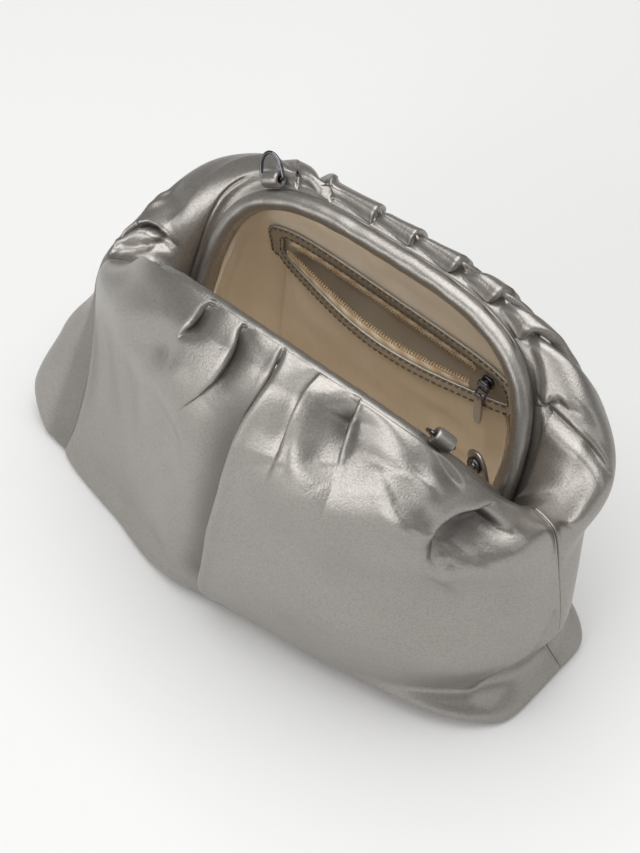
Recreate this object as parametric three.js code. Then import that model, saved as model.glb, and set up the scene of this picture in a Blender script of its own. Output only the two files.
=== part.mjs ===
// Soft gathered leather clutch on a hinged tube frame, standing open.
// Millimetres, +Z up, +X along the hinge axis, the front of the bag towards -Y.
import * as THREE from "three";

const vec = (x, y, z) => new THREE.Vector3(x, y, z);

// Rows of a table as objects with the columns' names
function table(names, ...rows) {
  return rows.map((row) => Object.fromEntries(names.map((name, k) => [name, row[k]])));
}

// Frame and leather sizes
const HINGE_HALF = 92;
const HINGE_HEIGHT = 104;
const ARCH_RISE = 82;
const ARCH_SQUARE = 3.4;
const TUBE = { radius: 5, sides: 10, stations: 30, startFront: 14, startBack: 6 };
const HINGE_PIN = { radius: 1.6, sides: 8, front: 13.4, bend: 2.4, back: 5.4 };
const TILT = { front: THREE.MathUtils.degToRad(30), back: THREE.MathUtils.degToRad(22) };
const OUTWARD = { front: -1, back: 1 };
const LEATHER = 1.8;
const CLOTH = 1;
const SEAM_GAP = 0.45;
const PANEL_SPREAD = 330;

// Section tables. t is the length down the leather from the gathered rim. The seams table places
// the two side seams. A wall's table has y and z at its middle, its squareness towards each end,
// the change of y (skew) and of z (rise) from middle to right end, and the bulge past each seam.
const SEAM_COLUMNS = ["t", "leftX", "leftY", "leftZ", "rightX", "rightY", "rightZ"];
const WALL_COLUMNS = ["t", "y", "z", "squareLeft", "squareRight", "skew", "rise", "bulgeLeft", "bulgeRight"];

// Leather body, down to the edge of the flat base
const BODY = {
  seams: table(
    SEAM_COLUMNS,
    [0, -98, 0, 100, 98, 0, 100],
    [16, -102, -4, 112, 102, 0, 110],
    [32, -109, -13, 121, 111, 0, 118],
    [55, -124, -18, 121, 122, -1, 115],
    [90, -134, -26, 95, 130, -3, 88],
    [135, -137, -37, 58, 134, -3, 50],
    [172, -140, -50, 19, 123, 5, 19],
    [194, -143, -56, 3, 132, 7, 3],
    [204, -139, -53, 0, 128, 7, 0],
  ),
  front: table(
    WALL_COLUMNS,
    [0, -47, 171.5, 3.4, 3.4, 0, 0, 0, 0],
    [16, -48.8, 190, 3.6, 3.6, 0, 0, 0, 0],
    [32, -61, 183, 2.6, 3, 0, 0, 0, 0],
    [55, -74, 160, 1.8, 2.4, 3, 0, 0, 0],
    [90, -83, 118, 1.3, 2.2, 5, 0, 0, 0],
    [135, -87, 66, 1.2, 2.4, 7, 0, 0, 0],
    [172, -82, 24, 1.2, 2.8, 12, 0, 0, 2],
    [194, -70, 3, 1.3, 6, 28, 0, 0, 0],
    [204, -64, 0, 1.5, 6, 27, 0, 0, 0],
  ),
  back: table(
    WALL_COLUMNS,
    [0, 37.4, 175.5, 3.4, 3.4, 0, 0, 0, 0],
    [16, 41.5, 187, 3.6, 3.6, 0, 0, 0, 0],
    [32, 48, 181, 4.4, 4, -2, 0, 8, 8],
    [55, 54, 160, 4.4, 4.6, -2, -2, 10, 12],
    [90, 58, 118, 3.2, 2.8, -2, 0, 5, 0],
    [135, 58, 66, 2.6, 2, 0, 0, 28, 0],
    [172, 53, 24, 2.4, 2.4, 0, 0, 40, 3],
    [194, 46, 3, 2.4, 6, -10, 0, 26, 0],
    [204, 40, 0, 2.4, 6, -10, 0, 20, 0],
  ),
};

// Loose lining, from the frame tubes down to its floor
const LINING = {
  seams: table(
    SEAM_COLUMNS,
    [0, -86, 0, 98, 86, 0, 98],
    [30, -93, -4, 82, 92, 0, 82],
    [70, -104, -14, 60, 102, 0, 58],
    [112, -112, -24, 36, 106, 0, 36],
    [142, -112, -30, 18, 102, 2, 18],
    [158, -106, -30, 8, 96, 3, 8],
  ),
  front: table(
    WALL_COLUMNS,
    [0, -42, 169, 3.6, 3.6, 0, 0, 0, 0],
    [30, -52, 142, 3.2, 3.2, 0, 0, 0, 0],
    [70, -65, 100, 2.35, 2.6, 0, 0, 0, 0],
    [112, -69.5, 56, 1.85, 2.3, 0, 0, 0, 0],
    [142, -65, 24, 1.85, 2.3, 0, 0, 0, 0],
    [158, -54, 8, 1.85, 2.3, 0, 0, 0, 0],
  ),
  back: table(
    WALL_COLUMNS,
    [0, 33, 173, 4.2, 4.2, 0, 0, 0, 0],
    [30, 39, 146, 5.5, 5.5, 0, 0, 0, 0],
    [70, 43, 104, 4.6, 4.6, 0, 0, 0, 0],
    [112, 44, 58, 2.8, 2.6, 0, 0, 0, 0],
    [142, 41, 24, 2.4, 2.4, 0, 0, 0, 0],
    [158, 35, 8, 2.4, 2.4, 0, 0, 0, 0],
  ),
};

// Where the leather is pleated onto the frame, along each panel from the left seam to the right,
// with the height of the puffs between the pleats and where down the leather they swell most.
const GATHERS = {
  front: { pleats: [0.31, 0.41, 0.466, 0.53, 0.591, 0.648, 0.73, 0.8], puff: 1.5 },
  back: { pleats: [0.12, 0.21, 0.318, 0.374, 0.45, 0.52, 0.595, 0.662, 0.723, 0.815], puff: 3.4 },
};
const PUFF = { at: 18, spread: 13 };

// Folds: path of [along the panel, length down], depth of the crease, its half width,
// and the height of the lip beside it (side 1 is to the right of a crease running down).
const FOLDS = {
  front: [
    { depth: 5, width: 6, lip: 2.5, side: 1, path: [[0.413, 9], [0.396, 25], [0.395, 33], [0.403, 42]] },
    { depth: 4, width: 8, lip: 2, side: 1, path: [[0.403, 41], [0.38, 48], [0.322, 61]] },
    { depth: 4.5, width: 6, lip: 2.5, side: 1, path: [[0.468, 9], [0.46, 24], [0.472, 40], [0.452, 63]] },
    { depth: 5, width: 6.5, lip: 2.5, side: 1, path: [[0.53, 9], [0.527, 37], [0.503, 91], [0.468, 179]] },
    { depth: 4, width: 6, lip: 2, side: 1, path: [[0.59, 8], [0.578, 40], [0.578, 57], [0.57, 75]] },
    { depth: -3.5, width: 9, lip: -2, side: -1, path: [[0.598, 18], [0.593, 43], [0.645, 71], [0.77, 20]] },
    { depth: 4.5, width: 6, lip: 2, side: 1, path: [[0.65, 8], [0.647, 19], [0.642, 35], [0.638, 43]] },
    { depth: 3.5, width: 6, lip: 1.5, side: 1, path: [[0.735, 8], [0.733, 20]] },
    { depth: 7, width: 11, lip: 3, side: 1, path: [[0.865, 37], [0.807, 48], [0.775, 56], [0.76, 69]] },
    { depth: 3, width: 11, lip: 2, side: -1, path: [[0.685, 125], [0.74, 103], [0.818, 84], [0.945, 90]] },
    { depth: 2.5, width: 11, lip: 1.5, side: -1, path: [[0.705, 141], [0.775, 119], [0.845, 96]] },
    { depth: 2.5, width: 15, lip: 1.5, side: -1, path: [[0.4, 66], [0.41, 110], [0.42, 150]] },
  ],
  back: [
    { depth: 4, width: 7, lip: 2, side: 1, path: [[0.318, 8], [0.3, 30], [0.28, 60]] },
    { depth: 4.5, width: 6, lip: 2.5, side: 1, path: [[0.374, 8], [0.36, 24], [0.35, 50]] },
    { depth: 4, width: 6.5, lip: 2, side: -1, path: [[0.45, 8], [0.45, 40], [0.46, 80]] },
    { depth: 4, width: 6.5, lip: 2, side: -1, path: [[0.52, 8], [0.525, 40], [0.53, 100]] },
    { depth: 4.5, width: 6, lip: 2.5, side: -1, path: [[0.595, 8], [0.61, 24], [0.62, 60]] },
    { depth: 4.5, width: 6, lip: 2.5, side: -1, path: [[0.662, 8], [0.676, 24], [0.69, 60]] },
    { depth: 4.5, width: 6, lip: 2, side: -1, path: [[0.723, 8], [0.725, 28], [0.74, 70]] },
    { depth: 4, width: 7, lip: 2, side: -1, path: [[0.8, 8], [0.844, 22], [0.86, 60]] },
    { depth: 4, width: 8, lip: 2.5, side: 1, path: [[0.142, 54], [0.1, 46], [0.076, 43]] },
    { depth: 3.5, width: 14, lip: 2, side: -1, path: [[0.3, 110], [0.5, 122], [0.7, 108]] },
  ],
};

// Rows and columns of the soft walls
const PANEL_ROWS = [0, 8, 16, 24, 32, 43, 55, 66, 78, 90, 105, 120, 135, 148, 160, 172, 183, 194, 204];
const PANEL_COLUMNS = { front: 48, back: 38 };
const LINING_ROWS = [0, 15, 30, 50, 70, 91, 112, 127, 142, 158];
const LINING_COLUMNS = 15;
const LINING_END = LINING_ROWS.at(-1);

// Zip pocket on the back wall of the lining: its span along the wall, its length down at each end,
// the bow and drop of its front run, the leather band round it and the cloth below.
const POCKET = {
  from: 0.297,
  to: 0.7,
  tFrom: 31,
  tTo: 40,
  bow: 13,
  clear: 4.4,
  fall: 11,
  sag: 2,
  bandWidth: 8,
  bandThick: 1.6,
  drop: 78,
  steps: 15,
};
const ZIP = {
  tapeFrom: 0.03,
  tapeTo: 0.88,
  tapeGap: 0.5,
  tapeWidth: 5,
  tapeThick: 1.2,
  sliderAt: 0.93,
  slider: [7, 7.5, 4.6],
  pull: [4.4, 20, 1.4],
  pullAhead: 4.2,
  pullBelow: 3,
};

// Rings and the leather rolls that hold them, placed by their share along the frame's arch,
// out from its tube and in towards the mouth. hang is 1 for a ring standing out, -1 for one hanging in.
const RING = { barHalf: 6.4, bar: 5.8, reach: 12.5, shoulder: 1.2, wire: 0.95, sides: 8, bowSteps: 14 };
const ROLL = { radius: 4.1, hole: 1.6, half: 4.8, sides: 12 };
const RING_AT = {
  back: { along: 0.287, rise: 9.5, inward: 0, hang: 1 },
  front: { along: 0.755, rise: 7, inward: 7, hang: -1 },
};

// Snap tab at the right end of the mouth
const SNAP = {
  centre: vec(77, 4, 112),
  down: vec(0.4, -0.15, -0.9).normalize(),
  facing: vec(-0.45, -0.6, 0.66),
  halfWidth: 6,
  halfLength: 11,
  halfThick: 1,
  square: 3,
  outlineSides: 20,
  studRadius: 4.2,
  studUp: 4,
  studFrom: 1.3,
  studTo: 3.2,
  studSides: 16,
};

const MATERIALS = {
  leather: new THREE.MeshStandardMaterial({ color: "#8f8a84", roughness: 0.45, metalness: 0.5 }),
  lining: new THREE.MeshStandardMaterial({ color: "#b59c80", roughness: 0.6 }),
  tape: new THREE.MeshStandardMaterial({ color: "#c8b195", roughness: 0.8 }),
  metal: new THREE.MeshStandardMaterial({ color: "#46464a", roughness: 0.25, metalness: 1 }),
};

// Smooth step from 0 at a to 1 at b
const step = (a, b, x) => THREE.MathUtils.smoothstep(x, a, b);

// Slopes of the monotone cubic at each row
function monotoneSlopes(ts, vs) {
  const gaps = ts.slice(1).map((t, i) => t - ts[i]);
  const secants = gaps.map((gap, i) => (vs[i + 1] - vs[i]) / gap);
  return vs.map((_, i) => {
    if (i === 0) return secants[0];
    if (i === vs.length - 1) return secants[i - 1];
    if (secants[i - 1] * secants[i] <= 0) return 0;
    const before = 2 * gaps[i] + gaps[i - 1];
    const after = gaps[i] + 2 * gaps[i - 1];
    return (before + after) / (before / secants[i - 1] + after / secants[i]);
  });
}

// Monotone cubic through the rows of a section table: t => one value for each column
function curve(rows) {
  const ts = rows.map((row) => row.t);
  const names = Object.keys(rows[0]).filter((name) => name !== "t");
  const columns = names.map((name) => {
    const values = rows.map((row) => row[name]);
    return { name, values, slopes: monotoneSlopes(ts, values) };
  });
  return (t) => {
    const i = Math.min(Math.max(ts.findLastIndex((start) => start <= t), 0), ts.length - 2);
    const gap = ts[i + 1] - ts[i];
    const q = (t - ts[i]) / gap;
    const blend = q * q * (3 - 2 * q);
    return Object.fromEntries(columns.map(({ name, values, slopes }) => {
      const chord = values[i] + (values[i + 1] - values[i]) * blend;
      return [name, chord + gap * q * (1 - q) * ((1 - q) * slopes[i] - q * slopes[i + 1])];
    }));
  };
}

function form(tables) {
  return Object.fromEntries(Object.entries(tables).map(([name, rows]) => [name, curve(rows)]));
}

const BODY_FORM = form(BODY);
const LINING_FORM = form(LINING);

// Point of a wall: a superellipse from the left seam round the middle to the right seam,
// s going from 0 to 1. w is 0 at the seams and 1 along the middle.
function surface(shape, side, s, t) {
  const seam = shape.seams(t);
  const wall = shape[side](t);
  const cosine = -Math.cos(Math.PI * s);
  const sine = Math.sin(Math.PI * s);
  const square = THREE.MathUtils.lerp(wall.squareLeft, wall.squareRight, 0.5 * (1 + Math.tanh(3 * cosine)));
  const radius = (Math.abs(cosine) ** square + Math.abs(sine) ** square) ** (-1 / square);
  const x = radius * cosine;
  const w = THREE.MathUtils.clamp(radius * sine, 0, 1);
  const u = 0.5 * (1 + x);
  const leftSwell = -wall.bulgeLeft * 3.48 * w ** 0.42 * (1 - w) ** 2.8;
  const rightSwell = wall.bulgeRight * 3.65 * w ** 0.7 * (1 - w) ** 1.3;
  return vec(
    THREE.MathUtils.lerp(seam.leftX, seam.rightX, u) + (x < 0 ? leftSwell : rightSwell),
    THREE.MathUtils.lerp(THREE.MathUtils.lerp(seam.leftY, seam.rightY, u), wall.y + wall.skew * x, w),
    THREE.MathUtils.lerp(THREE.MathUtils.lerp(seam.leftZ, seam.rightZ, u), wall.z + wall.rise * x, w),
  );
}

// Outward normal of a wall by small differences
function normalAt(shape, side, s, t, tEnd) {
  const ds = 0.004;
  const dt = 0.8;
  const left = surface(shape, side, Math.max(s - ds, 0), t);
  const right = surface(shape, side, Math.min(s + ds, 1), t);
  const above = surface(shape, side, s, Math.max(t - dt, 0));
  const below = surface(shape, side, s, Math.min(t + dt, tEnd));
  return right.sub(left).cross(below.sub(above)).multiplyScalar(OUTWARD[side]).normalize();
}

// Signed distance to a fold's path and the share along it, in the plane of the flat leather
function nearestOnPath(path, s, t) {
  const points = path.map(([ps, pt]) => [ps * PANEL_SPREAD, pt]);
  const lengths = points.slice(1).map(([x, y], i) => Math.hypot(x - points[i][0], y - points[i][1]));
  const total = lengths.reduce((sum, length) => sum + length, 0);
  let best = { distance: Infinity, along: 0, signed: 0 };
  let before = 0;
  lengths.forEach((length, i) => {
    const [ax, ay] = points[i];
    const ex = (points[i + 1][0] - ax) / length;
    const ey = (points[i + 1][1] - ay) / length;
    const px = s * PANEL_SPREAD - ax;
    const py = t - ay;
    const q = THREE.MathUtils.clamp(px * ex + py * ey, 0, length);
    const dx = px - q * ex;
    const dy = py - q * ey;
    const distance = Math.hypot(dx, dy);
    if (distance < best.distance) {
      best = { distance, along: (before + q) / total, signed: Math.sign(dx * ey - dy * ex) * distance };
    }
    before += length;
  });
  return best;
}

// Height of one fold: a crease with a lip on one side, fading out along the last part of its path
function foldHeight({ path, depth, width, lip, side }, s, t) {
  const { signed, along } = nearestOnPath(path, s, t);
  const fade = 1 - step(0.55, 1, along);
  const crease = -depth * Math.exp(-((signed / width) ** 2));
  const lipDistance = (signed - side * 1.7 * width) / (1.2 * width);
  return fade * (crease + lip * Math.exp(-(lipDistance ** 2)));
}

// Height of the puff between two pleats at the rim
function puffHeight({ pleats, puff }, s, t) {
  const i = pleats.findLastIndex((at) => at <= s);
  if (i < 0 || i === pleats.length - 1) return 0;
  const share = (s - pleats[i]) / (pleats[i + 1] - pleats[i]);
  return puff * (Math.sin(Math.PI * share) ** 0.7 - 0.4) * Math.exp(-(((t - PUFF.at) / PUFF.spread) ** 2));
}

// Height of the folds and rim gathers over the smooth panel, none at the seams, rim and base
function relief(side, s, t) {
  const folds = FOLDS[side].reduce((sum, fold) => sum + foldHeight(fold, s, t), 0);
  const seams = step(0, 0.07, s) * step(0, 0.07, 1 - s);
  const ends = step(6, 18, t) * (1 - step(176, 190, t));
  return (folds + puffHeight(GATHERS[side], s, t)) * seams * ends;
}

// Mesh from points and faces, turned to face out
function solid(name, points, faces, material) {
  let volume = 0;
  for (const [a, b, c] of faces) {
    volume += points[a].dot(points[b].clone().cross(points[c]));
  }
  const wound = volume < 0 ? faces.map(([a, b, c]) => [a, c, b]) : faces;
  const geometry = new THREE.BufferGeometry();
  geometry.setAttribute("position", new THREE.Float32BufferAttribute(points.flatMap((p) => p.toArray()), 3));
  geometry.setIndex(wound.flat());
  geometry.computeVertexNormals();
  const mesh = new THREE.Mesh(geometry, material);
  mesh.name = name;
  return mesh;
}

// Faces of a grid of rows by columns starting at a vertex number, optionally closed round
function gridFaces(rows, columns, first, closeColumns = false, closeRows = false) {
  const faces = [];
  const rowEnd = closeRows ? rows : rows - 1;
  const columnEnd = closeColumns ? columns : columns - 1;
  for (let i = 0; i < rowEnd; i += 1) {
    for (let j = 0; j < columnEnd; j += 1) {
      const a = first + i * columns + j;
      const b = first + i * columns + ((j + 1) % columns);
      const c = first + ((i + 1) % rows) * columns + j;
      const d = first + ((i + 1) % rows) * columns + ((j + 1) % columns);
      faces.push([a, b, d], [a, d, c]);
    }
  }
  return faces;
}

// Fan of faces that closes a flat ring of vertices
function fanFaces(first, sides, turned) {
  const faces = [];
  for (let k = 1; k < sides - 1; k += 1) {
    faces.push(turned ? [first, first + k + 1, first + k] : [first, first + k, first + k + 1]);
  }
  return faces;
}

// Bar whose section is carried through a row of stations, with closed ends
function bar(name, points, stations, sides, material) {
  const faces = gridFaces(stations, sides, 0, true);
  faces.push(...fanFaces(0, sides, true), ...fanFaces((stations - 1) * sides, sides, false));
  return solid(name, points, faces, material);
}

// Closed sheet between an outer grid and an inner grid of the same size
function sheet(name, outer, inner, material) {
  const rows = outer.length;
  const columns = outer[0].length;
  const count = rows * columns;
  const faces = gridFaces(rows, columns, 0);
  faces.push(...gridFaces(rows, columns, count).map(([a, b, c]) => [a, c, b]));
  const edge = [];
  for (let j = 0; j < columns - 1; j += 1) edge.push(j);
  for (let i = 0; i < rows - 1; i += 1) edge.push(i * columns + columns - 1);
  for (let j = columns - 1; j > 0; j -= 1) edge.push((rows - 1) * columns + j);
  for (let i = rows - 1; i > 0; i -= 1) edge.push(i * columns);
  edge.forEach((a, k) => {
    const b = edge[(k + 1) % edge.length];
    faces.push([b, a, a + count], [b, a + count, b + count]);
  });
  return solid(name, [...outer.flat(), ...inner.flat()], faces, material);
}

// Normals of a grid from the differences between its neighbours
function gridNormals(grid, sign) {
  const rows = grid.length;
  const columns = grid[0].length;
  return grid.map((row, i) => row.map((_, j) => {
    const across = row[Math.min(j + 1, columns - 1)].clone().sub(row[Math.max(j - 1, 0)]);
    const down = grid[Math.min(i + 1, rows - 1)][j].clone().sub(grid[Math.max(i - 1, 0)][j]);
    return across.cross(down).multiplyScalar(sign).normalize();
  }));
}

// Outer face of one half of a pouch: its wall with the relief on it, and two rows under its floor,
// to the keel seam
function halfGrid({ shape, rows, columns, raised }, side) {
  const tEnd = rows.at(-1);
  const count = columns[side];
  const along = Array.from({ length: count + 1 }, (_, j) => j / count);
  const walls = rows.map((t) => along.map((s) => {
    const normal = normalAt(shape, side, s, t, tEnd);
    return surface(shape, side, s, t).addScaledVector(normal, raised(side, s, t));
  }));
  const hem = walls.at(-1);
  const keel = hem.map((point) => {
    const share = (point.x - hem[0].x) / (hem[count].x - hem[0].x);
    return hem[0].clone().lerp(hem[count], THREE.MathUtils.clamp(share, 0, 1));
  });
  const under = [0.5, 1].map((q) => hem.map((point, j) => point.clone().lerp(keel[j], q)));
  return [...walls, ...under].map((row) => row.map((point) => point.setZ(Math.max(point.z, 0))));
}

// Front and back half of a pouch, sewn at the sides and along the keel, with a small gap at the seams
function sewnHalves(pouch) {
  const sides = ["front", "back"];
  const grids = Object.fromEntries(sides.map((side) => [side, halfGrid(pouch, side)]));
  const normals = Object.fromEntries(sides.map((side) => [side, gridNormals(grids[side], OUTWARD[side])]));
  normals.front.forEach((_, i) => {
    for (const seam of [0, -1]) {
      const pair = sides.map((side) => normals[side][i].at(seam));
      const shared = pair[0].clone().add(pair[1]).normalize();
      pair.forEach((normal) => normal.copy(shared));
    }
  });
  return sides.map((side) => {
    const grid = grids[side];
    const keel = grid.at(-1);
    const beside = grid.at(-2);
    grid.forEach((row, i) => {
      for (const [j, next] of [[0, 1], [row.length - 1, row.length - 2]]) {
        row[j].addScaledVector(row[next].clone().sub(row[j]).normalize(), SEAM_GAP);
      }
      if (i >= pouch.rows.length) normals[side][i].forEach((normal) => normal.set(0, 0, -1));
    });
    keel.forEach((point, j) => point.addScaledVector(beside[j].clone().sub(point).normalize(), SEAM_GAP / 2));
    const inner = grid.map((row, i) => row.map((point, j) => (
      point.clone().addScaledVector(normals[side][i][j], -pouch.thick))));
    return sheet(pouch.names[side], grid, inner, pouch.material);
  });
}

// Body: two leather panels, pleated at the rim
function panels() {
  return sewnHalves({
    names: { front: "front_panel", back: "back_panel" },
    shape: BODY_FORM,
    rows: PANEL_ROWS,
    columns: PANEL_COLUMNS,
    raised: relief,
    thick: LEATHER,
    material: MATERIALS.leather,
  });
}

// Lining: a loose cup of cloth, open at the top
function lining() {
  return sewnHalves({
    names: { front: "lining_front", back: "lining_back" },
    shape: LINING_FORM,
    rows: LINING_ROWS,
    columns: { front: LINING_COLUMNS, back: LINING_COLUMNS },
    raised: () => 0,
    thick: CLOTH,
    material: MATERIALS.lining,
  });
}

// Upward direction in the tilted plane of one half of the frame
function archUp(side) {
  return vec(0, OUTWARD[side] * Math.sin(TILT[side]), Math.cos(TILT[side]));
}

// Frame arch in its own tilted plane: place, direction along it, outward and across directions
function archAt(side, s) {
  const cosine = -Math.cos(Math.PI * s);
  const sine = Math.sin(Math.PI * s);
  const radius = (Math.abs(cosine) ** ARCH_SQUARE + Math.abs(sine) ** ARCH_SQUARE) ** (-1 / ARCH_SQUARE);
  const up = archUp(side);
  const across = vec(0, OUTWARD[side] * Math.cos(TILT[side]), -Math.sin(TILT[side]));
  const height = ARCH_RISE * radius * sine;
  const place = vec(HINGE_HALF * radius * cosine, 0, HINGE_HEIGHT).addScaledVector(up, height);
  const sideways = (Math.sign(cosine) * Math.abs(radius * cosine) ** (ARCH_SQUARE - 1)) / HINGE_HALF;
  const upwards = Math.abs(radius * sine) ** (ARCH_SQUARE - 1) / ARCH_RISE;
  const outward = vec(sideways, 0, 0).addScaledVector(up, upwards).normalize();
  return { place, outward, across, along: outward.clone().cross(across).normalize(), height };
}

// Points of a round section at each station, in the two directions of its plane
function roundSections(stations, radius, sides) {
  return stations.flatMap(({ place, a, b }) => Array.from({ length: sides }, (_, k) => {
    const angle = (2 * Math.PI * k) / sides;
    const across = a.clone().multiplyScalar(radius * Math.cos(angle));
    return place.clone().add(across).addScaledVector(b, radius * Math.sin(angle));
  }));
}

// Half of the frame: a leather-covered tube along the arch
function frameTube(side) {
  const start = side === "front" ? TUBE.startFront : TUBE.startBack;
  const fine = 240;
  const all = Array.from({ length: fine + 1 }, (_, i) => archAt(side, i / fine));
  const inside = all.filter(({ height }) => height >= start);
  const stations = Array.from({ length: TUBE.stations }, (_, i) => {
    const { place, outward, across } = inside[Math.round((i * (inside.length - 1)) / (TUBE.stations - 1))];
    return { place, a: outward, b: across };
  });
  const points = roundSections(stations, TUBE.radius, TUBE.sides);
  return bar(`frame_${side}`, points, stations.length, TUBE.sides, MATERIALS.leather);
}

// Hinge: one bent pin joining the ends of the two tubes
function hinge(name, sign) {
  const centre = vec(sign * HINGE_HALF, 0, HINGE_HEIGHT);
  const legs = [
    ["front", HINGE_PIN.front],
    ["front", HINGE_PIN.bend],
    ["back", HINGE_PIN.bend],
    ["back", HINGE_PIN.back],
  ];
  const places = legs.map(([side, length]) => centre.clone().addScaledVector(archUp(side), length));
  const stations = places.map((place, i) => {
    const before = places[Math.max(i - 1, 0)];
    const after = places[Math.min(i + 1, places.length - 1)];
    const a = vec(1, 0, 0);
    return { place, a, b: after.clone().sub(before).cross(a).normalize() };
  });
  const points = roundSections(stations, HINGE_PIN.radius, HINGE_PIN.sides);
  return bar(name, points, stations.length, HINGE_PIN.sides, MATERIALS.metal);
}

// Seat of a ring: the middle of its bar, the bar's direction and the way the ring reaches
function ringSeat(side) {
  const { along, rise, inward, hang } = RING_AT[side];
  const arch = archAt(side, along);
  const centre = arch.place.clone().addScaledVector(arch.outward, rise).addScaledVector(arch.across, -inward);
  const reach = arch.outward.clone().multiplyScalar(hang);
  return { centre, axis: arch.along, reach, normal: arch.along.clone().cross(reach).normalize() };
}

// Ring roll: a short leather tube beside the frame tube, with the ring's bar through it
function ringRoll(side) {
  const { centre, axis, reach, normal } = ringSeat(side);
  const { half, radius, hole, sides } = ROLL;
  const points = [[-half, radius], [half, radius], [half, hole], [-half, hole]].flatMap(([x, r]) => (
    roundSections([{ place: centre.clone().addScaledVector(axis, x), a: reach, b: normal }], r, sides)));
  return solid(`ring_roll_${side}`, points, gridFaces(4, sides, 0, true, true), MATERIALS.leather);
}

// D-shaped ring of round wire
function ring(side) {
  const { centre, axis, reach, normal } = ringSeat(side);
  const bow = Array.from({ length: RING.bowSteps + 1 }, (_, i) => {
    const angle = (Math.PI * i) / RING.bowSteps;
    const out = RING.shoulder + (RING.reach - RING.shoulder) * Math.sin(angle) ** 0.9;
    return [RING.barHalf * Math.cos(angle), out];
  });
  const straight = [-1, -0.5, 0, 0.5, 1].map((share) => [share * RING.bar, 0]);
  const outline = [...straight, ...bow];
  const stations = outline.map(([x, y], i) => {
    const before = outline.at(i - 1);
    const after = outline[(i + 1) % outline.length];
    const at = (p, q) => axis.clone().multiplyScalar(p).addScaledVector(reach, q);
    const along = at(after[0] - before[0], after[1] - before[1]);
    const place = centre.clone().add(at(x, y));
    return { place, a: along.cross(normal).normalize(), b: normal };
  });
  const points = roundSections(stations, RING.wire, RING.sides);
  return solid(`ring_${side}`, points, gridFaces(outline.length, RING.sides, 0, true, true), MATERIALS.metal);
}

// Place on the zip's edge, from its left end to its right: the back run lies against the lining's
// wall, the front run bows away from it and lies lower.
function pocketPlace(f, front) {
  const s = THREE.MathUtils.lerp(POCKET.from, POCKET.to, f);
  const t = THREE.MathUtils.lerp(POCKET.tFrom, POCKET.tTo, f);
  const swell = Math.max(Math.sin(Math.PI * f), 0);
  const wall = surface(LINING_FORM, "back", s, t);
  const inward = normalAt(LINING_FORM, "back", s, t, LINING_END).negate();
  const down = surface(LINING_FORM, "back", s, t + 2).sub(wall).normalize();
  const off = POCKET.clear + (front ? POCKET.bow * swell ** 0.7 : 0);
  const lower = front ? POCKET.fall + POCKET.sag * swell : 0;
  return { place: wall.addScaledVector(inward, off).addScaledVector(down, lower), inward, down };
}

// Leather band round the zip
function pocketTrim() {
  const { steps, bandWidth, bandThick } = POCKET;
  const shares = Array.from({ length: steps }, (_, i) => i / (steps - 1));
  const run = (front) => shares.map((f) => ({ ...pocketPlace(f, front), front }));
  const loop = [...run(false), ...run(true).reverse()];
  const middle = loop.reduce((sum, { place }) => sum + place.x, 0) / loop.length;
  const half = bandThick / 2;
  const points = loop.flatMap(({ place, inward, down, front }, k) => {
    const atEnd = k % steps === 0 || k % steps === steps - 1;
    const outward = down.clone().multiplyScalar(front ? 1 : -1);
    if (atEnd) outward.add(vec(0.8 * Math.sign(place.x - middle), 0, 0)).normalize();
    return [[0, -half], [bandWidth, -half], [bandWidth, half], [0, half]].map(([w, h]) => (
      place.clone().addScaledVector(outward, w).addScaledVector(inward, h)));
  });
  return solid("pocket_trim", points, gridFaces(loop.length, 4, 0, true, true), MATERIALS.leather);
}

// Tape along one side of the zip
function zipTape(side) {
  const front = side === "front";
  const { tapeGap, tapeWidth } = ZIP;
  const half = ZIP.tapeThick / 2;
  const count = POCKET.steps;
  const points = Array.from({ length: count }, (_, i) => {
    const f = THREE.MathUtils.lerp(ZIP.tapeFrom, ZIP.tapeTo, i / (count - 1));
    const { place, inward, down } = pocketPlace(f, front);
    const towards = down.clone().multiplyScalar(front ? -1 : 1);
    const section = [[tapeGap, -half], [tapeWidth, -half], [tapeWidth, half], [tapeGap, half]];
    return section.map(([w, h]) => place.clone().addScaledVector(towards, w).addScaledVector(inward, h));
  });
  return bar(`zip_tape_${side}`, points.flat(), count, 4, MATERIALS.tape);
}

// Pocket front: a sheet of lining cloth hanging from the front run of the band
function pocketPanel() {
  const columns = 14;
  const rows = 5;
  const hang = Array.from({ length: columns + 1 }, (_, j) => {
    const f = THREE.MathUtils.lerp(0.02, 0.98, j / columns);
    const { place, inward, down } = pocketPlace(f, true);
    const s = THREE.MathUtils.lerp(POCKET.from, POCKET.to, f);
    const t = THREE.MathUtils.lerp(POCKET.tFrom, POCKET.tTo, f) + POCKET.drop;
    const wall = normalAt(LINING_FORM, "back", s, t, LINING_END);
    const foot = surface(LINING_FORM, "back", s, t).addScaledVector(wall, -POCKET.clear);
    return { top: place.addScaledVector(down, POCKET.bandWidth + 0.6), foot, inward };
  });
  const shares = Array.from({ length: rows }, (_, i) => i / (rows - 1));
  const outer = shares.map((q) => hang.map(({ top, foot }) => top.clone().lerp(foot, q)));
  const behind = (point, j) => point.clone().addScaledVector(hang[j].inward, -CLOTH);
  const inner = outer.map((row) => row.map(behind));
  return sheet("pocket_panel", outer, inner, MATERIALS.lining);
}

// Flat piece: an outline in the plane of two directions, from one height to another along the third
function plate(name, centre, [across, up, out], outline, low, high, material) {
  const points = [low, high].flatMap((h) => outline.map(([x, y]) => (
    centre.clone().addScaledVector(across, x).addScaledVector(up, y).addScaledVector(out, h))));
  return bar(name, points, 2, outline.length, material);
}

function rectangle(width, length) {
  return [[-1, -1], [1, -1], [1, 1], [-1, 1]].map(([x, y]) => [(x * width) / 2, (y * length) / 2]);
}

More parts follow.
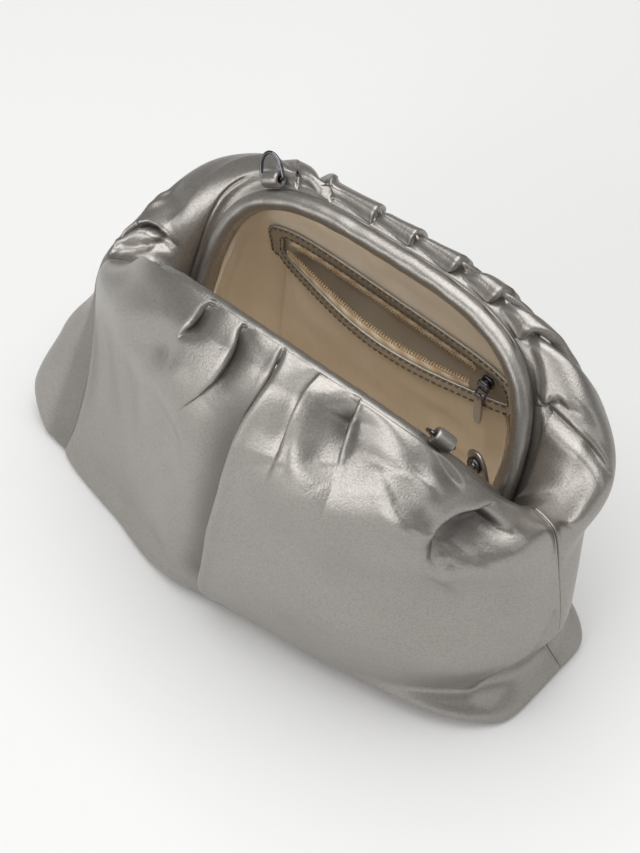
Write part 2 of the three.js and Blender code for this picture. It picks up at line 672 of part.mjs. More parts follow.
// Slider at the right end of the zip and the pull hanging from it
function zipSlider() {
  const back = pocketPlace(ZIP.sliderAt, false);
  const front = pocketPlace(ZIP.sliderAt, true);
  const centre = back.place.clone().lerp(front.place, 0.5);
  const alongZip = pocketPlace(ZIP.sliderAt + 0.02, false).place.sub(back.place).normalize();
  const face = back.inward.clone().add(front.inward).normalize();
  const acrossZip = alongZip.clone().cross(face).normalize();
  const [width, length, thick] = ZIP.slider;
  const bodyAxes = [alongZip, acrossZip, face];
  const block = rectangle(width, length);
  const body = plate("zip_slider", centre, bodyAxes, block, -thick / 2, thick / 2, MATERIALS.metal);
  const [pullWidth, pullLength, pullThick] = ZIP.pull;
  const level = alongZip.clone().setZ(0).normalize();
  const hang = vec(0, 0, -1);
  const middle = centre.clone().addScaledVector(face, ZIP.pullAhead)
    .addScaledVector(hang, ZIP.pullBelow + pullLength / 2);
  const pullAxes = [level, hang, level.clone().cross(hang).normalize()];
  const tongue = rectangle(pullWidth, pullLength);
  return [body, plate("zip_pull", middle, pullAxes, tongue, -pullThick / 2, pullThick / 2, MATERIALS.metal)];
}

// Snap tab standing at the right end of the mouth, and its stud
function snapTab() {
  const side = SNAP.facing.clone().cross(SNAP.down).normalize();
  const axes = [side, SNAP.down, SNAP.down.clone().cross(side).normalize()];
  const turn = (sides) => Array.from({ length: sides }, (_, k) => (2 * Math.PI * k) / sides);
  const outline = turn(SNAP.outlineSides).map((angle) => {
    const x = Math.cos(angle);
    const y = Math.sin(angle);
    const radius = (Math.abs(x) ** SNAP.square + Math.abs(y) ** SNAP.square) ** (-1 / SNAP.square);
    return [SNAP.halfWidth * radius * x, SNAP.halfLength * radius * y];
  });
  const round = turn(SNAP.studSides).map((angle) => (
    [SNAP.studRadius * Math.cos(angle), SNAP.studRadius * Math.sin(angle) - SNAP.studUp]));
  return [
    plate("snap_tab", SNAP.centre, axes, outline, -SNAP.halfThick, SNAP.halfThick, MATERIALS.leather),
    plate("snap_stud", SNAP.centre, axes, round, SNAP.studFrom, SNAP.studTo, MATERIALS.metal),
  ];
}

const bag = new THREE.Group();
bag.name = "clutch_bag";
bag.add(
  ...panels(),
  ...lining(),
  frameTube("front"),
  frameTube("back"),
  hinge("hinge_left", -1),
  hinge("hinge_right", 1),
  ringRoll("back"),
  ring("back"),
  ringRoll("front"),
  ring("front"),
  pocketTrim(),
  zipTape("front"),
  zipTape("back"),
  pocketPanel(),
  ...zipSlider(),
  ...snapTab(),
);

export default bag;
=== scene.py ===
"""Gathered pewter leather clutch, standing open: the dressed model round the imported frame.

All shapes are worked out in millimetres, in the frame of the part: +X along the hinge axis,
the front of the bag towards -Y, +Z up. Meshes are put into Blender in metres.
"""

import logging
import math
from dataclasses import dataclass, field
from enum import Enum
from typing import Any, Sequence

import bpy
import numpy as np
from mathutils import Matrix


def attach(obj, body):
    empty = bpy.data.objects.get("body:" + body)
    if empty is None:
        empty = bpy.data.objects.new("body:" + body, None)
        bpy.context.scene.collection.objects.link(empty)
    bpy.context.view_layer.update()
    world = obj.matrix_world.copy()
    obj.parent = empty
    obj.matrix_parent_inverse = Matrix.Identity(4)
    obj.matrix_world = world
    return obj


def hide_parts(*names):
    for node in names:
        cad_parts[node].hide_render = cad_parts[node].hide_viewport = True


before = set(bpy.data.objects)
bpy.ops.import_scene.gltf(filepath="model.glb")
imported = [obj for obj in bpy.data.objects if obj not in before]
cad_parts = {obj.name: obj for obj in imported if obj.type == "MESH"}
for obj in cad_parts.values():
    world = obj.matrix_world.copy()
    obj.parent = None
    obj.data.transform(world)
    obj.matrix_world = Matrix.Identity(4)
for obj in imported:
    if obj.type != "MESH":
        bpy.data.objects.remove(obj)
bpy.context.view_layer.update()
LOG = logging.getLogger("clutch")
METRES = 0.001
Grid = np.ndarray
PI = math.pi
TURN = 2.0 * PI
DOWN = np.array([0.0, 0.0, -1.0])
# Distance under which the vertices of a piece become one, in mm
MERGED = 1e-4
# Factor inside Blender's wave texture, taken out of its scale
WAVE_BANDS = 20.0
# Share of a tube's radius where the flat of its cap starts
CAP_EDGE = 0.85
# Rings of points on the rounded edge of a slab and on each of its faces
RIM_RINGS = 9
FACE_RINGS = 7
# Points of a fine table along a panel or an arch
FINE_PANEL = 4001
FINE_ARCH = 2001

# Driving sizes of the frame, the leather and the cloth, in mm
HINGE_HALF = 92.0
HINGE_HEIGHT = 104.0
ARCH_RISE = 82.0
ARCH_SQUARE = 3.4
LEATHER = 1.8
CLOTH = 1.0
TUBE_RADIUS = 5.0
PANEL_SPREAD = 330.0
BASE_EDGE = 204.0


class Side(Enum):
    """The two halves of the bag."""

    FRONT = "front"
    BACK = "back"

    @property
    def outward(self) -> float:
        """Sign of Y that leads out of the bag."""
        return -1.0 if self is Side.FRONT else 1.0

    @property
    def tilt(self) -> float:
        """Angle of the frame half from upright, in radians."""
        return math.radians(30.0 if self is Side.FRONT else 22.0)


class Rides(Enum):
    """Bodies of the part that pieces ride on."""

    BAG = "bag"
    BACK_RING = "back_ring"
    FRONT_RING = "front_ring"
    PULL = "pull"


class Slot(Enum):
    """Material slots of the part's record."""

    LEATHER = "leather"
    LINING = "lining"
    TAPE = "zip_tape"
    METAL = "metal"


# Small mathematics

def smooth(low: float, high: float, x: Grid) -> Grid:
    """Smooth step: 0 up to low, 1 from high, a cubic between.

    Args:
        low: where the step starts.
        high: where it ends.
        x: values to step.

    Returns:
        The steps, from 0 to 1.
    """
    q = np.clip((x - low) / (high - low), 0.0, 1.0)
    return q * q * (3.0 - 2.0 * q)


def bell(x: Grid) -> Grid:
    """Gaussian bell, 1 at 0."""
    return np.exp(-np.square(x))


def unit(v: Grid) -> Grid:
    """Vectors scaled to length 1."""
    return v / np.maximum(np.linalg.norm(v, axis=-1, keepdims=True), 1e-9)


def mix(a: Any, b: Any, q: Any) -> Any:
    """Straight blend from a to b by the share q."""
    return a + (b - a) * q


def superradius(c: Grid, s: Grid, n: Any) -> Grid:
    """Radius that turns a unit circle's cosine and sine into a superellipse of squareness n."""
    return (np.abs(c) ** n + np.abs(s) ** n) ** (-1.0 / n)


def full_turn(count: int) -> Grid:
    """Angles at even steps round a circle."""
    return np.linspace(0.0, TURN, count, endpoint=False)


def squared_circle(count: int, n: float) -> tuple[Grid, Grid]:
    """Superellipse of half width 1 and squareness n.

    Args:
        count: how many points it has.
        n: its squareness, 2 for a circle.

    Returns:
        Both coordinates of its points.
    """
    c, s = np.cos(full_turn(count)), np.sin(full_turn(count))
    r = superradius(c, s, n)
    return r * c, r * s


def lengths_along(path: Grid) -> Grid:
    """Length along a path from its first point.

    Args:
        path: points in order along the last axis but one.

    Returns:
        The length at each point.
    """
    steps = np.linalg.norm(np.diff(path, axis=-2), axis=-1)
    first = np.zeros(steps.shape[:-1] + (1,))
    return np.concatenate([first, np.cumsum(steps, axis=-1)], axis=-1)


def sampled(at: Grid, run: Grid, values: Grid) -> Grid:
    """Values of each column at given lengths, straight between those at the lengths of the run."""
    return np.stack([np.interp(at, run, column) for column in values.T], axis=-1)


def spaced(path: Grid, count: int, closed: bool = False) -> Grid:
    """Points at even lengths along a path.

    Args:
        path: points in order, (n, 3).
        count: how many points to give.
        closed: whether the path comes back to its start.

    Returns:
        The even points, (count, 3).
    """
    run = np.vstack([path, path[:1]]) if closed else path
    at = lengths_along(run)
    return sampled(np.linspace(0.0, at[-1], count, endpoint=not closed), at, run)


def soft_noise(x: Grid, y: Grid, seed: int, waves: int = 7) -> Grid:
    """Smooth noise about -1 to 1: a sum of sine waves in seeded directions and phases.

    Args:
        x: first coordinate, in wavelengths.
        y: second coordinate, in wavelengths.
        seed: seed of the directions and phases.
        waves: how many waves are added.

    Returns:
        The noise at each point.
    """
    rng = np.random.default_rng(seed)
    angle = rng.uniform(0.0, TURN, waves)
    phase = rng.uniform(0.0, TURN, waves)
    pace = rng.uniform(0.6, 1.5, waves)
    total = np.zeros(np.broadcast(x, y).shape)
    for a, p, k in zip(angle, phase, pace):
        total = total + np.sin(TURN * k * (x * math.cos(a) + y * math.sin(a)) + p)
    return total / math.sqrt(waves)


# Meshes from grids

def quads(rows: int, columns: int, first: int = 0, round_columns: bool = False,
          round_rows: bool = False) -> Grid:
    """Faces of a grid of vertices numbered row by row.

    Args:
        rows: rows of vertices.
        columns: columns of vertices.
        first: number of the first vertex.
        round_columns: whether the last column joins the first.
        round_rows: whether the last row joins the first.

    Returns:
        Vertex numbers of the faces, (faces, 4).
    """
    i = np.arange(rows if round_rows else rows - 1)[:, None]
    j = np.arange(columns if round_columns else columns - 1)[None, :]
    down, right = (i + 1) % rows, (j + 1) % columns
    corners = [i * columns + j, i * columns + right, down * columns + right, down * columns + j]
    return first + np.stack([c.ravel() for c in np.broadcast_arrays(*corners)], axis=-1)


def border(rows: int, columns: int) -> Grid:
    """Vertex numbers round the edge of a grid.

    Args:
        rows: rows of vertices.
        columns: columns of vertices.

    Returns:
        The numbers, from the first corner along the first row and round.
    """
    number = np.arange(rows * columns).reshape(rows, columns)
    return np.concatenate([number[0, :-1], number[:-1, -1], number[-1, :0:-1], number[:0:-1, 0]])


@dataclass
class Shell:
    """Vertices and faces of one piece, gathered from several grids."""

    points: list[Grid] = field(default_factory=list)
    faces: list[Grid] = field(default_factory=list)
    maps: list[Grid] = field(default_factory=list)
    count: int = 0

    def add(self, grid: Grid, round_columns: bool = False, round_rows: bool = False,
            flip: bool = False, flat_map: Grid | None = None) -> "Shell":
        """Adds a grid of points.

        Args:
            grid: points, (rows, columns, 3).
            round_columns: whether each row closes on itself.
            round_rows: whether the rows close on themselves.
            flip: whether the faces turn over.
            flat_map: two values for each point that its finish reads, (rows, columns, 2), in mm.

        Returns:
            The shell itself.
        """
        rows, columns = grid.shape[:2]
        faces = quads(rows, columns, self.count, round_columns, round_rows)
        self.faces.append(faces[:, ::-1] if flip else faces)
        self.points.append(grid.reshape(-1, 3))
        plain = np.zeros((rows, columns, 2)) if flat_map is None else flat_map
        self.maps.append(plain.reshape(-1, 2))
        self.count += rows * columns
        return self

    def bridge(self, ring_a: Grid, ring_b: Grid) -> None:
        """Adds faces between two equal rings of vertex numbers, closing round."""
        self.faces.append(np.stack([ring_a, ring_b, np.roll(ring_b, -1), np.roll(ring_a, -1)], axis=-1))

    def piece(self, name: str, finish: "Finish") -> bpy.types.Object:
        """Puts the gathered grids into a mesh object, with vertices closer than MERGED made one.

        Args:
            name: name of the piece.
            finish: its material.

        Returns:
            The object, at the origin, smooth and with its faces out.
        """
        points, faces, places = (np.concatenate(part) for part in (self.points, self.faces, self.maps))
        _, index, inverse = np.unique(
            np.round(points / MERGED).astype(np.int64), axis=0, return_index=True, return_inverse=True)
        corners = [tuple(dict.fromkeys(face)) for face in inverse.reshape(-1)[faces].tolist()]
        mesh = bpy.data.meshes.new(name)
        mesh.from_pydata(points[index] * METRES, [], [face for face in corners if len(face) > 2])
        mesh.polygons.foreach_set("use_smooth", np.ones(len(mesh.polygons), dtype=bool))
        flat = mesh.uv_layers.new(name="cloth")
        loops = np.zeros(len(mesh.loops), dtype=np.int32)
        mesh.loops.foreach_get("vertex_index", loops)
        flat.data.foreach_set("uv", (places[index][loops] * METRES).ravel())
        mesh.materials.append(finish.material)
        mesh.update()
        obj = bpy.data.objects.new(name, mesh)
        bpy.context.scene.collection.objects.link(obj)
        return obj


def tube(path: Grid, normal: Grid, radius: Any, sides: int, closed: bool = False) -> Grid:
    """Round tube: at each point of the path a circle in the plane across it.

    Args:
        path: centre line, (n, 3).
        normal: a direction across the path at each point, (n, 3) or (3,).
        radius: radius of the tube, one or one for each point.
        sides: points round the circle.
        closed: whether the path closes on itself.

    Returns:
        The grid of points, (n, sides, 3).
    """
    if closed:
        along = unit(np.roll(path, -1, axis=0) - np.roll(path, 1, axis=0))
    else:
        along = unit(np.gradient(path, axis=0))
    across = unit(np.cross(along, np.broadcast_to(normal, path.shape)))
    lift = unit(np.cross(across, along))
    angle = full_turn(sides)
    size = np.broadcast_to(radius, (len(path),))[:, None, None]
    ring = across[:, None] * np.cos(angle)[None, :, None] + lift[:, None] * np.sin(angle)[None, :, None]
    return path[:, None] + size * ring


def capped(grid: Grid) -> Grid:
    """A tube's grid with each end drawn to its middle, through a rounded edge.

    Args:
        grid: points of the open tube, (n, sides, 3).

    Returns:
        The points with two more rows at each end.
    """
    first, last = grid[0].mean(axis=0), grid[-1].mean(axis=0)
    ends = [np.broadcast_to(first, grid[0].shape), mix(first, grid[0], CAP_EDGE)]
    tails = [mix(last, grid[-1], CAP_EDGE), np.broadcast_to(last, grid[-1].shape)]
    return np.concatenate([np.stack(ends), grid, np.stack(tails)])


def slab(outline: Grid, axes: Sequence[Grid], centre: Grid, half: float, rim: float,
         crown: float = 0.0) -> Grid:
    """Flat piece with rounded edges: rings of its outline from the middle of one face to the other.

    Args:
        outline: points of the outline in its plane, (n, 2).
        axes: the two directions of the plane and the one across it.
        centre: middle of the piece.
        half: half of the thickness.
        rim: radius of the rounded edge.
        crown: how far the middle of the upper face stands up.

    Returns:
        The grid of points, (rings, n, 3).
    """
    turn = np.linspace(-PI / 2.0, PI / 2.0, RIM_RINGS)
    reach = np.linalg.norm(outline, axis=1).mean()
    edge_scale = 1.0 - (rim - rim * np.cos(turn)) / reach
    edge_height = (half - rim) * np.sign(turn) + rim * np.sin(turn)
    flat = np.linspace(0.0, edge_scale[0], FACE_RINGS)[:-1]
    scale = np.concatenate([flat, edge_scale, flat[::-1]])
    dome = crown * (1.0 - np.square(flat[::-1] / edge_scale[0]))
    height = np.concatenate([np.full(flat.shape, -half), edge_height, half + dome])
    spread = outline[None] * scale[:, None, None]
    across, up, out = axes
    return (centre + spread[..., :1] * across + spread[..., 1:] * up + height[:, None, None] * out)


def ring_outline(width: float, length: float, square: float, count: int = 48) -> Grid:
    """Superellipse outline.

    Args:
        width: half of its width.
        length: half of its length.
        square: its squareness, 2 for an ellipse.
        count: how many points it has.

    Returns:
        The points in its plane, (count, 2).
    """
    x, y = squared_circle(count, square)
    return np.stack([width * x, length * y], axis=-1)


# Section tables and walls

@dataclass(frozen=True)
class Sections:
    """Monotone cubic curves through the rows of a table whose first column is the station."""

    rows: tuple[tuple[float, ...], ...]

    def at(self, t: Grid) -> tuple[Grid, ...]:
        """Values of every column at the stations t.

        Args:
            t: stations, any shape.

        Returns:
            One array for each column after the first.
        """
        data = np.array(self.rows)
        stations, values = data[:, 0], data[:, 1:]
        gaps = np.diff(stations)[:, None]
        secants = np.diff(values, axis=0) / gaps
        before, after = 2.0 * gaps[1:] + gaps[:-1], gaps[1:] + 2.0 * gaps[:-1]
        rising = secants[:-1] * secants[1:] > 0.0
        left, right = np.where(rising, secants[:-1], 1.0), np.where(rising, secants[1:], 1.0)
        inner = np.where(rising, (before + after) / (before / left + after / right), 0.0)
        slopes = np.vstack([secants[:1], inner, secants[-1:]])
        i = np.clip(np.searchsorted(stations, t, side="right") - 1, 0, len(stations) - 2)
        gap = (stations[i + 1] - stations[i])[..., None]
        q = (t - stations[i])[..., None] / gap
        chord = mix(values[i], values[i + 1], q * q * (3.0 - 2.0 * q))
        out = chord + gap * q * (1.0 - q) * ((1.0 - q) * slopes[i] - q * slopes[i + 1])
        return tuple(np.moveaxis(out, -1, 0))


# Swelling of a section past a seam: factor, and powers of the shares from the seam and to the middle
LEFT_SWELL = (3.48, 0.42, 2.8)
RIGHT_SWELL = (3.65, 0.7, 1.3)
# How sharply the left squareness of a section turns into the right one
SQUARE_TURN = 3.0


def swelling(w: Grid, factor: float, rise: float, fall: float) -> Grid:
    """Bulge between a seam, where w is 0, and the middle of a section, where w is 1."""
    return factor * w ** rise * (1.0 - w) ** fall


@dataclass(frozen=True)
class Wall:
    """Two walls between a left and a right seam, each a stack of superellipse sections.

    The seams table has t and x, y, z of the left and the right seam. A wall's table has t, y and z
    at its middle, its squareness to the left and right, the change of y and of z from middle to
    right end, and its bulge past the left and right seam.
    """

    seams: Sections
    front: Sections
    back: Sections
    end: float

    def point(self, side: Side, s: Grid, t: Grid) -> Grid:
        """Place on a wall.

        Each level t is a superellipse from the left seam round the middle to the right seam. w is 0
        at the seams and 1 along the middle, and x runs from -1 to 1.

        Args:
            side: front or back wall.
            s: share from the left seam to the right one.
            t: length down from the rim.

        Returns:
            The places, with a last axis of 3.
        """
        s, t = np.broadcast_arrays(np.asarray(s, float), np.asarray(t, float))
        left_x, left_y, left_z, right_x, right_y, right_z = self.seams.at(t)
        table = self.front if side is Side.FRONT else self.back
        y, z, square_left, square_right, skew, rise, bulge_left, bulge_right = table.at(t)
        c, sn = -np.cos(PI * s), np.sin(PI * s)
        r = superradius(c, sn, mix(square_left, square_right, 0.5 * (1.0 + np.tanh(SQUARE_TURN * c))))
        x, w = r * c, np.clip(r * sn, 0.0, 1.0)
        u = 0.5 * (1.0 + x)
        swell_left = -bulge_left * swelling(w, *LEFT_SWELL)
        swell_right = bulge_right * swelling(w, *RIGHT_SWELL)
        return np.stack([
            mix(left_x, right_x, u) + np.where(x < 0.0, swell_left, swell_right),
            mix(mix(left_y, right_y, u), y + skew * x, w),
            mix(mix(left_z, right_z, u), z + rise * x, w),
        ], axis=-1)

    def tangents(self, side: Side, s: Grid, t: Grid) -> tuple[Grid, Grid, Grid]:
        """Directions along the wall, down it and out of it, by small differences.

        Args:
            side: front or back wall.
            s: share from the left seam to the right one.
            t: length down from the rim.

        Returns:
            Unit vectors along, down and outwards.
        """
        ds, dt = 0.004, 0.8
        along = self.point(side, np.minimum(s + ds, 1.0), t) - self.point(side, np.maximum(s - ds, 0.0), t)
        down = (self.point(side, s, np.minimum(t + dt, self.end))
                - self.point(side, s, np.maximum(t - dt, 0.0)))
        return unit(along), unit(down), side.outward * unit(np.cross(along, down))


LEATHER_WALL = Wall(
    seams=Sections((
        (0, -98, 0, 100, 98, 0, 100),
        (16, -102, -4, 116, 102, 0, 110),
        (32, -110, -12, 129, 111, 0, 118),
        (55, -129, -20, 127, 122, -1, 115),
        (90, -137, -26, 99, 130, -3, 88),
        (135, -137, -37, 58, 134, -3, 50),
        (172, -140, -50, 19, 123, 5, 19),
        (194, -143, -56, 3, 132, 7, 3),
        (204, -139, -53, 0, 128, 7, 0),
    )),
    front=Sections((
        (0, -47, 171.5, 3.4, 3.4, 0, 0, 0, 0),
        (16, -48.8, 190, 3.0, 3.6, 0, 0, 0, 0),
        (32, -61, 183, 2.2, 3, 0, 0, 0, 0),
        (55, -74, 160, 1.7, 2.4, 3, 0, 0, 0),
        (90, -83, 118, 1.3, 2.2, 5, 0, 0, 0),
        (135, -87, 66, 1.2, 2.4, 7, 0, 0, 0),
        (172, -82, 24, 1.2, 2.8, 12, 0, 0, 2),
        (194, -70, 3, 1.3, 10, 28, 0, 0, 0),
        (204, -64, 0, 1.5, 11, 27, 0, 0, 0),
    )),
    back=Sections((
        (0, 37.4, 175.5, 3.4, 3.4, 0, 0, 0, 0),
        (16, 41.5, 187, 3.6, 3.6, 0, 0, 0, 0),
        (32, 48, 181, 4.4, 4, -2, 0, 5, 8),
        (55, 54, 160, 4.4, 4.6, -2, -2, 4, 12),
        (90, 58, 118, 3.2, 2.8, -2, 0, 5, 0),
        (135, 58, 66, 2.6, 2, 0, 0, 28, 0),
        (172, 53, 24, 2.4, 2.4, 0, 0, 40, 3),
        (194, 46, 3, 2.4, 6, -10, 0, 26, 0),
        (204, 40, 0, 2.4, 6, -10, 0, 20, 0),
    )),
    end=BASE_EDGE,
)

LINING_WALL = Wall(
    seams=Sections((
        (0, -86, 0, 98, 86, 0, 98),
        (30, -93, -4, 82, 92, 0, 82),
        (70, -104, -14, 60, 102, 0, 58),
        (112, -112, -24, 36, 106, 0, 36),
        (142, -112, -30, 18, 102, 2, 18),
        (158, -106, -30, 8, 96, 3, 8),
    )),
    front=Sections((
        (0, -42, 169, 3.6, 3.6, 0, 0, 0, 0),
        (30, -52, 142, 3.2, 3.2, 0, 0, 0, 0),
        (70, -65, 100, 2.35, 2.6, 0, 0, 0, 0),
        (112, -69.5, 56, 1.85, 2.3, 0, 0, 0, 0),
        (142, -65, 24, 1.85, 2.3, 0, 0, 0, 0),
        (158, -54, 8, 1.85, 2.3, 0, 0, 0, 0),
    )),
    back=Sections((
        (0, 33, 173, 4.2, 4.2, 0, 0, 0, 0),
        (30, 39, 146, 5.5, 5.5, 0, 0, 0, 0),
        (70, 43, 104, 4.6, 4.6, 0, 0, 0, 0),
        (112, 44, 58, 2.8, 2.6, 0, 0, 0, 0),
        (142, 41, 24, 2.4, 2.4, 0, 0, 0, 0),
        (158, 35, 8, 2.4, 2.4, 0, 0, 0, 0),
    )),
    end=158.0,
)


# Finishes

def linear(code: str) -> tuple[float, float, float, float]:
    """Linear colour of an sRGB hex value.

    Args:
        code: six hex digits after a hash.

    Returns:
        Red, green, blue and alpha.
    """
    srgb = np.array([int(code[k:k + 2], 16) for k in (1, 3, 5)]) / 255.0
    rgb = np.where(srgb <= 0.04045, srgb / 12.92, ((srgb + 0.055) / 1.055) ** 2.4)
    return (*rgb.tolist(), 1.0)


def add_node(tree: bpy.types.NodeTree, kind: str, inputs: dict | None = None,
             **settings: Any) -> bpy.types.Node:
    """Adds a node, sets it up and links it.

    Args:
        tree: node tree of a material.
        kind: Blender's name of the node.
        inputs: for each input's name or number, a socket to link or a value to set.
        settings: properties of the node.

    Returns:
        The node.
    """
    node = tree.nodes.new(kind)
    for name, value in settings.items():
        setattr(node, name, value)
    for key, value in (inputs or {}).items():
        if isinstance(value, bpy.types.NodeSocket):
            tree.links.new(value, node.inputs[key])
        else:
            node.inputs[key].default_value = value
    return node


def per_mm(size: float) -> float:
    """Scale of a pattern whose cells are size mm wide, on coordinates in metres."""
    return 1.0 / (size * METRES)


def blended(tree: bpy.types.NodeTree, share: Any, first: Any, second: Any) -> bpy.types.NodeSocket:
    """Colour between two others.

    Args:
        tree: node tree of a material.
        share: socket with the share of the second colour.
        first: hex value or socket of the first colour.
        second: hex value or socket of the second one.

    Returns:
        Socket of the colour.
    """
    ends = [linear(end) if isinstance(end, str) else end for end in (first, second)]
    return add_node(tree, "ShaderNodeMix", {0: share, 6: ends[0], 7: ends[1]}, data_type="RGBA").outputs[2]


def stretched(tree: bpy.types.NodeTree, value: Any, low: float, high: float,
              source: tuple[float, float] = (0.0, 1.0), curve: str = "LINEAR") -> bpy.types.NodeSocket:
    """Value carried from one range onto another.

    Args:
        tree: node tree of a material.
        value: socket of the value.
        low: start of the new range.
        high: end of the new range.
        source: range that the value has.
        curve: Blender's name of the way between the ends.

    Returns:
        Socket of the new value.
    """
    ranges = {"Value": value, "From Min": source[0], "From Max": source[1], "To Min": low, "To Max": high}
    return add_node(tree, "ShaderNodeMapRange", ranges, interpolation_type=curve).outputs[0]


@dataclass(frozen=True)
class Finish:
    """A procedural material: names the real material and builds its nodes once."""

    name: str

    @property
    def material(self) -> bpy.types.Material:
        """The material, made at its first use.

        Returns:
            The material.
        """
        made = bpy.data.materials.get(self.name)
        if made is None:
            made = bpy.data.materials.new(self.name)
            made.use_nodes = True
            made.node_tree.nodes.clear()
            shader = self.shade(made.node_tree)
            add_node(made.node_tree, "ShaderNodeOutputMaterial", {"Surface": shader.outputs[0]})
        return made

    def shade(self, tree: bpy.types.NodeTree) -> bpy.types.Node:
        """Builds the shader; each finish has its own."""
        raise NotImplementedError


@dataclass(frozen=True)
class PewterLeather(Finish):
    """Soft calf leather with a pewter foil pressed onto it: satin metal over a fine pebble grain.

    The foil gives broad soft highlights and the pebbles break them into a fine sparkle. Shade is
    painted into the dark folds: the colour darkens with the depth in the folds, which the piece's
    map gives in metres.
    """

    name: str = "pewter_foil_leather"
    light: str = "#a8a49f"
    dark: str = "#9a9691"
    crease: str = "#84807b"
    # Painted shade in the dark folds: its colour, the fold depths in mm over which it comes in, and its
    # largest share
    painted_fold_shade: str = "#4d4a45"
    painted_shade_mm: tuple[float, float] = (1.5, 8.0)
    painted_shade_share: float = 0.8
    crease_share: float = 0.35
    metallic: float = 0.88
    rough: tuple[float, float] = (0.33, 0.43)
    pebble_mm: float = 1.1
    pore_mm: float = 0.7
    cloud_mm: float = 38.0
    relief_mm: float = 0.07

    def shade(self, tree: bpy.types.NodeTree) -> bpy.types.Node:
        """Builds the leather's shader; its pebbles are drawn coarser than real so that they show.

        Args:
            tree: node tree of the material.

        Returns:
            The shader node.
        """
        coords = add_node(tree, "ShaderNodeTexCoord")
        place = coords.outputs["Object"]
        cloud = add_node(tree, "ShaderNodeTexNoise",
                         {"Vector": place, "Scale": per_mm(self.cloud_mm), "Detail": 3.0}).outputs[0]
        pebble = add_node(tree, "ShaderNodeTexVoronoi",
                          {"Vector": place, "Scale": per_mm(self.pebble_mm), "Smoothness": 0.6},
                          feature="SMOOTH_F1").outputs["Distance"]
        pore = add_node(tree, "ShaderNodeTexNoise",
                        {"Vector": place, "Scale": per_mm(self.pore_mm), "Detail": 2.0}).outputs[0]
        grain = add_node(tree, "ShaderNodeMath", {0: pebble, 1: pore}, operation="ADD").outputs[0]
        worn = stretched(tree, grain, 0.0, self.crease_share, (0.75, 1.25))
        foil = blended(tree, worn, blended(tree, cloud, self.dark, self.light), self.crease)
        # Painted shade: the colour darkens with the fold depth that the map carries
        depth = add_node(tree, "ShaderNodeSeparateXYZ", {0: coords.outputs["UV"]}).outputs[0]
        reach = (self.painted_shade_mm[0] * METRES, self.painted_shade_mm[1] * METRES)
        inside = stretched(tree, depth, 0.0, self.painted_shade_share, reach, "SMOOTHSTEP")
        bump = add_node(tree, "ShaderNodeBump",
                        {"Height": grain, "Strength": 0.8, "Distance": self.relief_mm * METRES},
                        invert=True)
        return add_node(tree, "ShaderNodeBsdfPrincipled",
                        {"Base Color": blended(tree, inside, foil, self.painted_fold_shade),
                         "Metallic": self.metallic,
                         "Roughness": stretched(tree, pore, *self.rough, source=(0.3, 0.7)),
                         "Normal": bump.outputs[0]})


@dataclass(frozen=True)
class ChampagneSatin(Finish):
    """Champagne polyester satin: smooth floats along the cloth give a soft running sheen."""

    name: str = "champagne_satin"
    light: str = "#efe4d2"
    dark: str = "#dfcdb2"
    rough: tuple[float, float] = (0.36, 0.5)
    thread_mm: float = 0.9
    cloud_mm: float = 30.0
    relief_mm: float = 0.04

    def shade(self, tree: bpy.types.NodeTree) -> bpy.types.Node:
        """Builds the satin's shader; its threads are drawn coarser than real so that they show.

        Args:
            tree: node tree of the material.

        Returns:
            The shader node.
        """
        coords = add_node(tree, "ShaderNodeTexCoord")
        cloud = add_node(tree, "ShaderNodeTexNoise",
                         {"Vector": coords.outputs["Object"], "Scale": per_mm(self.cloud_mm)}).outputs[0]
        thread = add_node(tree, "ShaderNodeTexWave",
                          {"Vector": coords.outputs["UV"], "Scale": per_mm(self.thread_mm) / WAVE_BANDS,
                           "Distortion": 1.5, "Detail": 1.0}, bands_direction="X").outputs["Fac"]
        bump = add_node(tree, "ShaderNodeBump",
                        {"Height": thread, "Strength": 0.25, "Distance": self.relief_mm * METRES})
        return add_node(tree, "ShaderNodeBsdfPrincipled",
                        {"Base Color": blended(tree, cloud, self.dark, self.light),
                         "Roughness": stretched(tree, thread, *self.rough),
                         "Specular IOR Level": 0.6, "Sheen Weight": 0.25, "Sheen Roughness": 0.4,
                         "Anisotropic": 0.4, "Normal": bump.outputs[0]})


@dataclass(frozen=True)
class ZipTape(Finish):
    """Woven polyester zip tape or coil: matt, with a herringbone of fine ribs."""

    name: str = "woven_zip_tape"
    light: str = "#e8d8be"
    dark: str = "#cdb492"
    rib_mm: float = 0.8
    relief_mm: float = 0.12
    rough: float = 0.78

    def shade(self, tree: bpy.types.NodeTree) -> bpy.types.Node:
        """Builds the tape's shader.

        Args:
            tree: node tree of the material.

        Returns:
            The shader node.
        """
        place = add_node(tree, "ShaderNodeTexCoord").outputs["UV"]
        rib = add_node(tree, "ShaderNodeTexWave",
                       {"Vector": place, "Scale": per_mm(self.rib_mm) / WAVE_BANDS, "Distortion": 0.6},
                       bands_direction="DIAGONAL").outputs["Fac"]
        bump = add_node(tree, "ShaderNodeBump",
                        {"Height": rib, "Strength": 0.5, "Distance": self.relief_mm * METRES})
        return add_node(tree, "ShaderNodeBsdfPrincipled",
                        {"Base Color": blended(tree, rib, self.dark, self.light),
                         "Roughness": self.rough, "Sheen Weight": 0.2, "Normal": bump.outputs[0]})


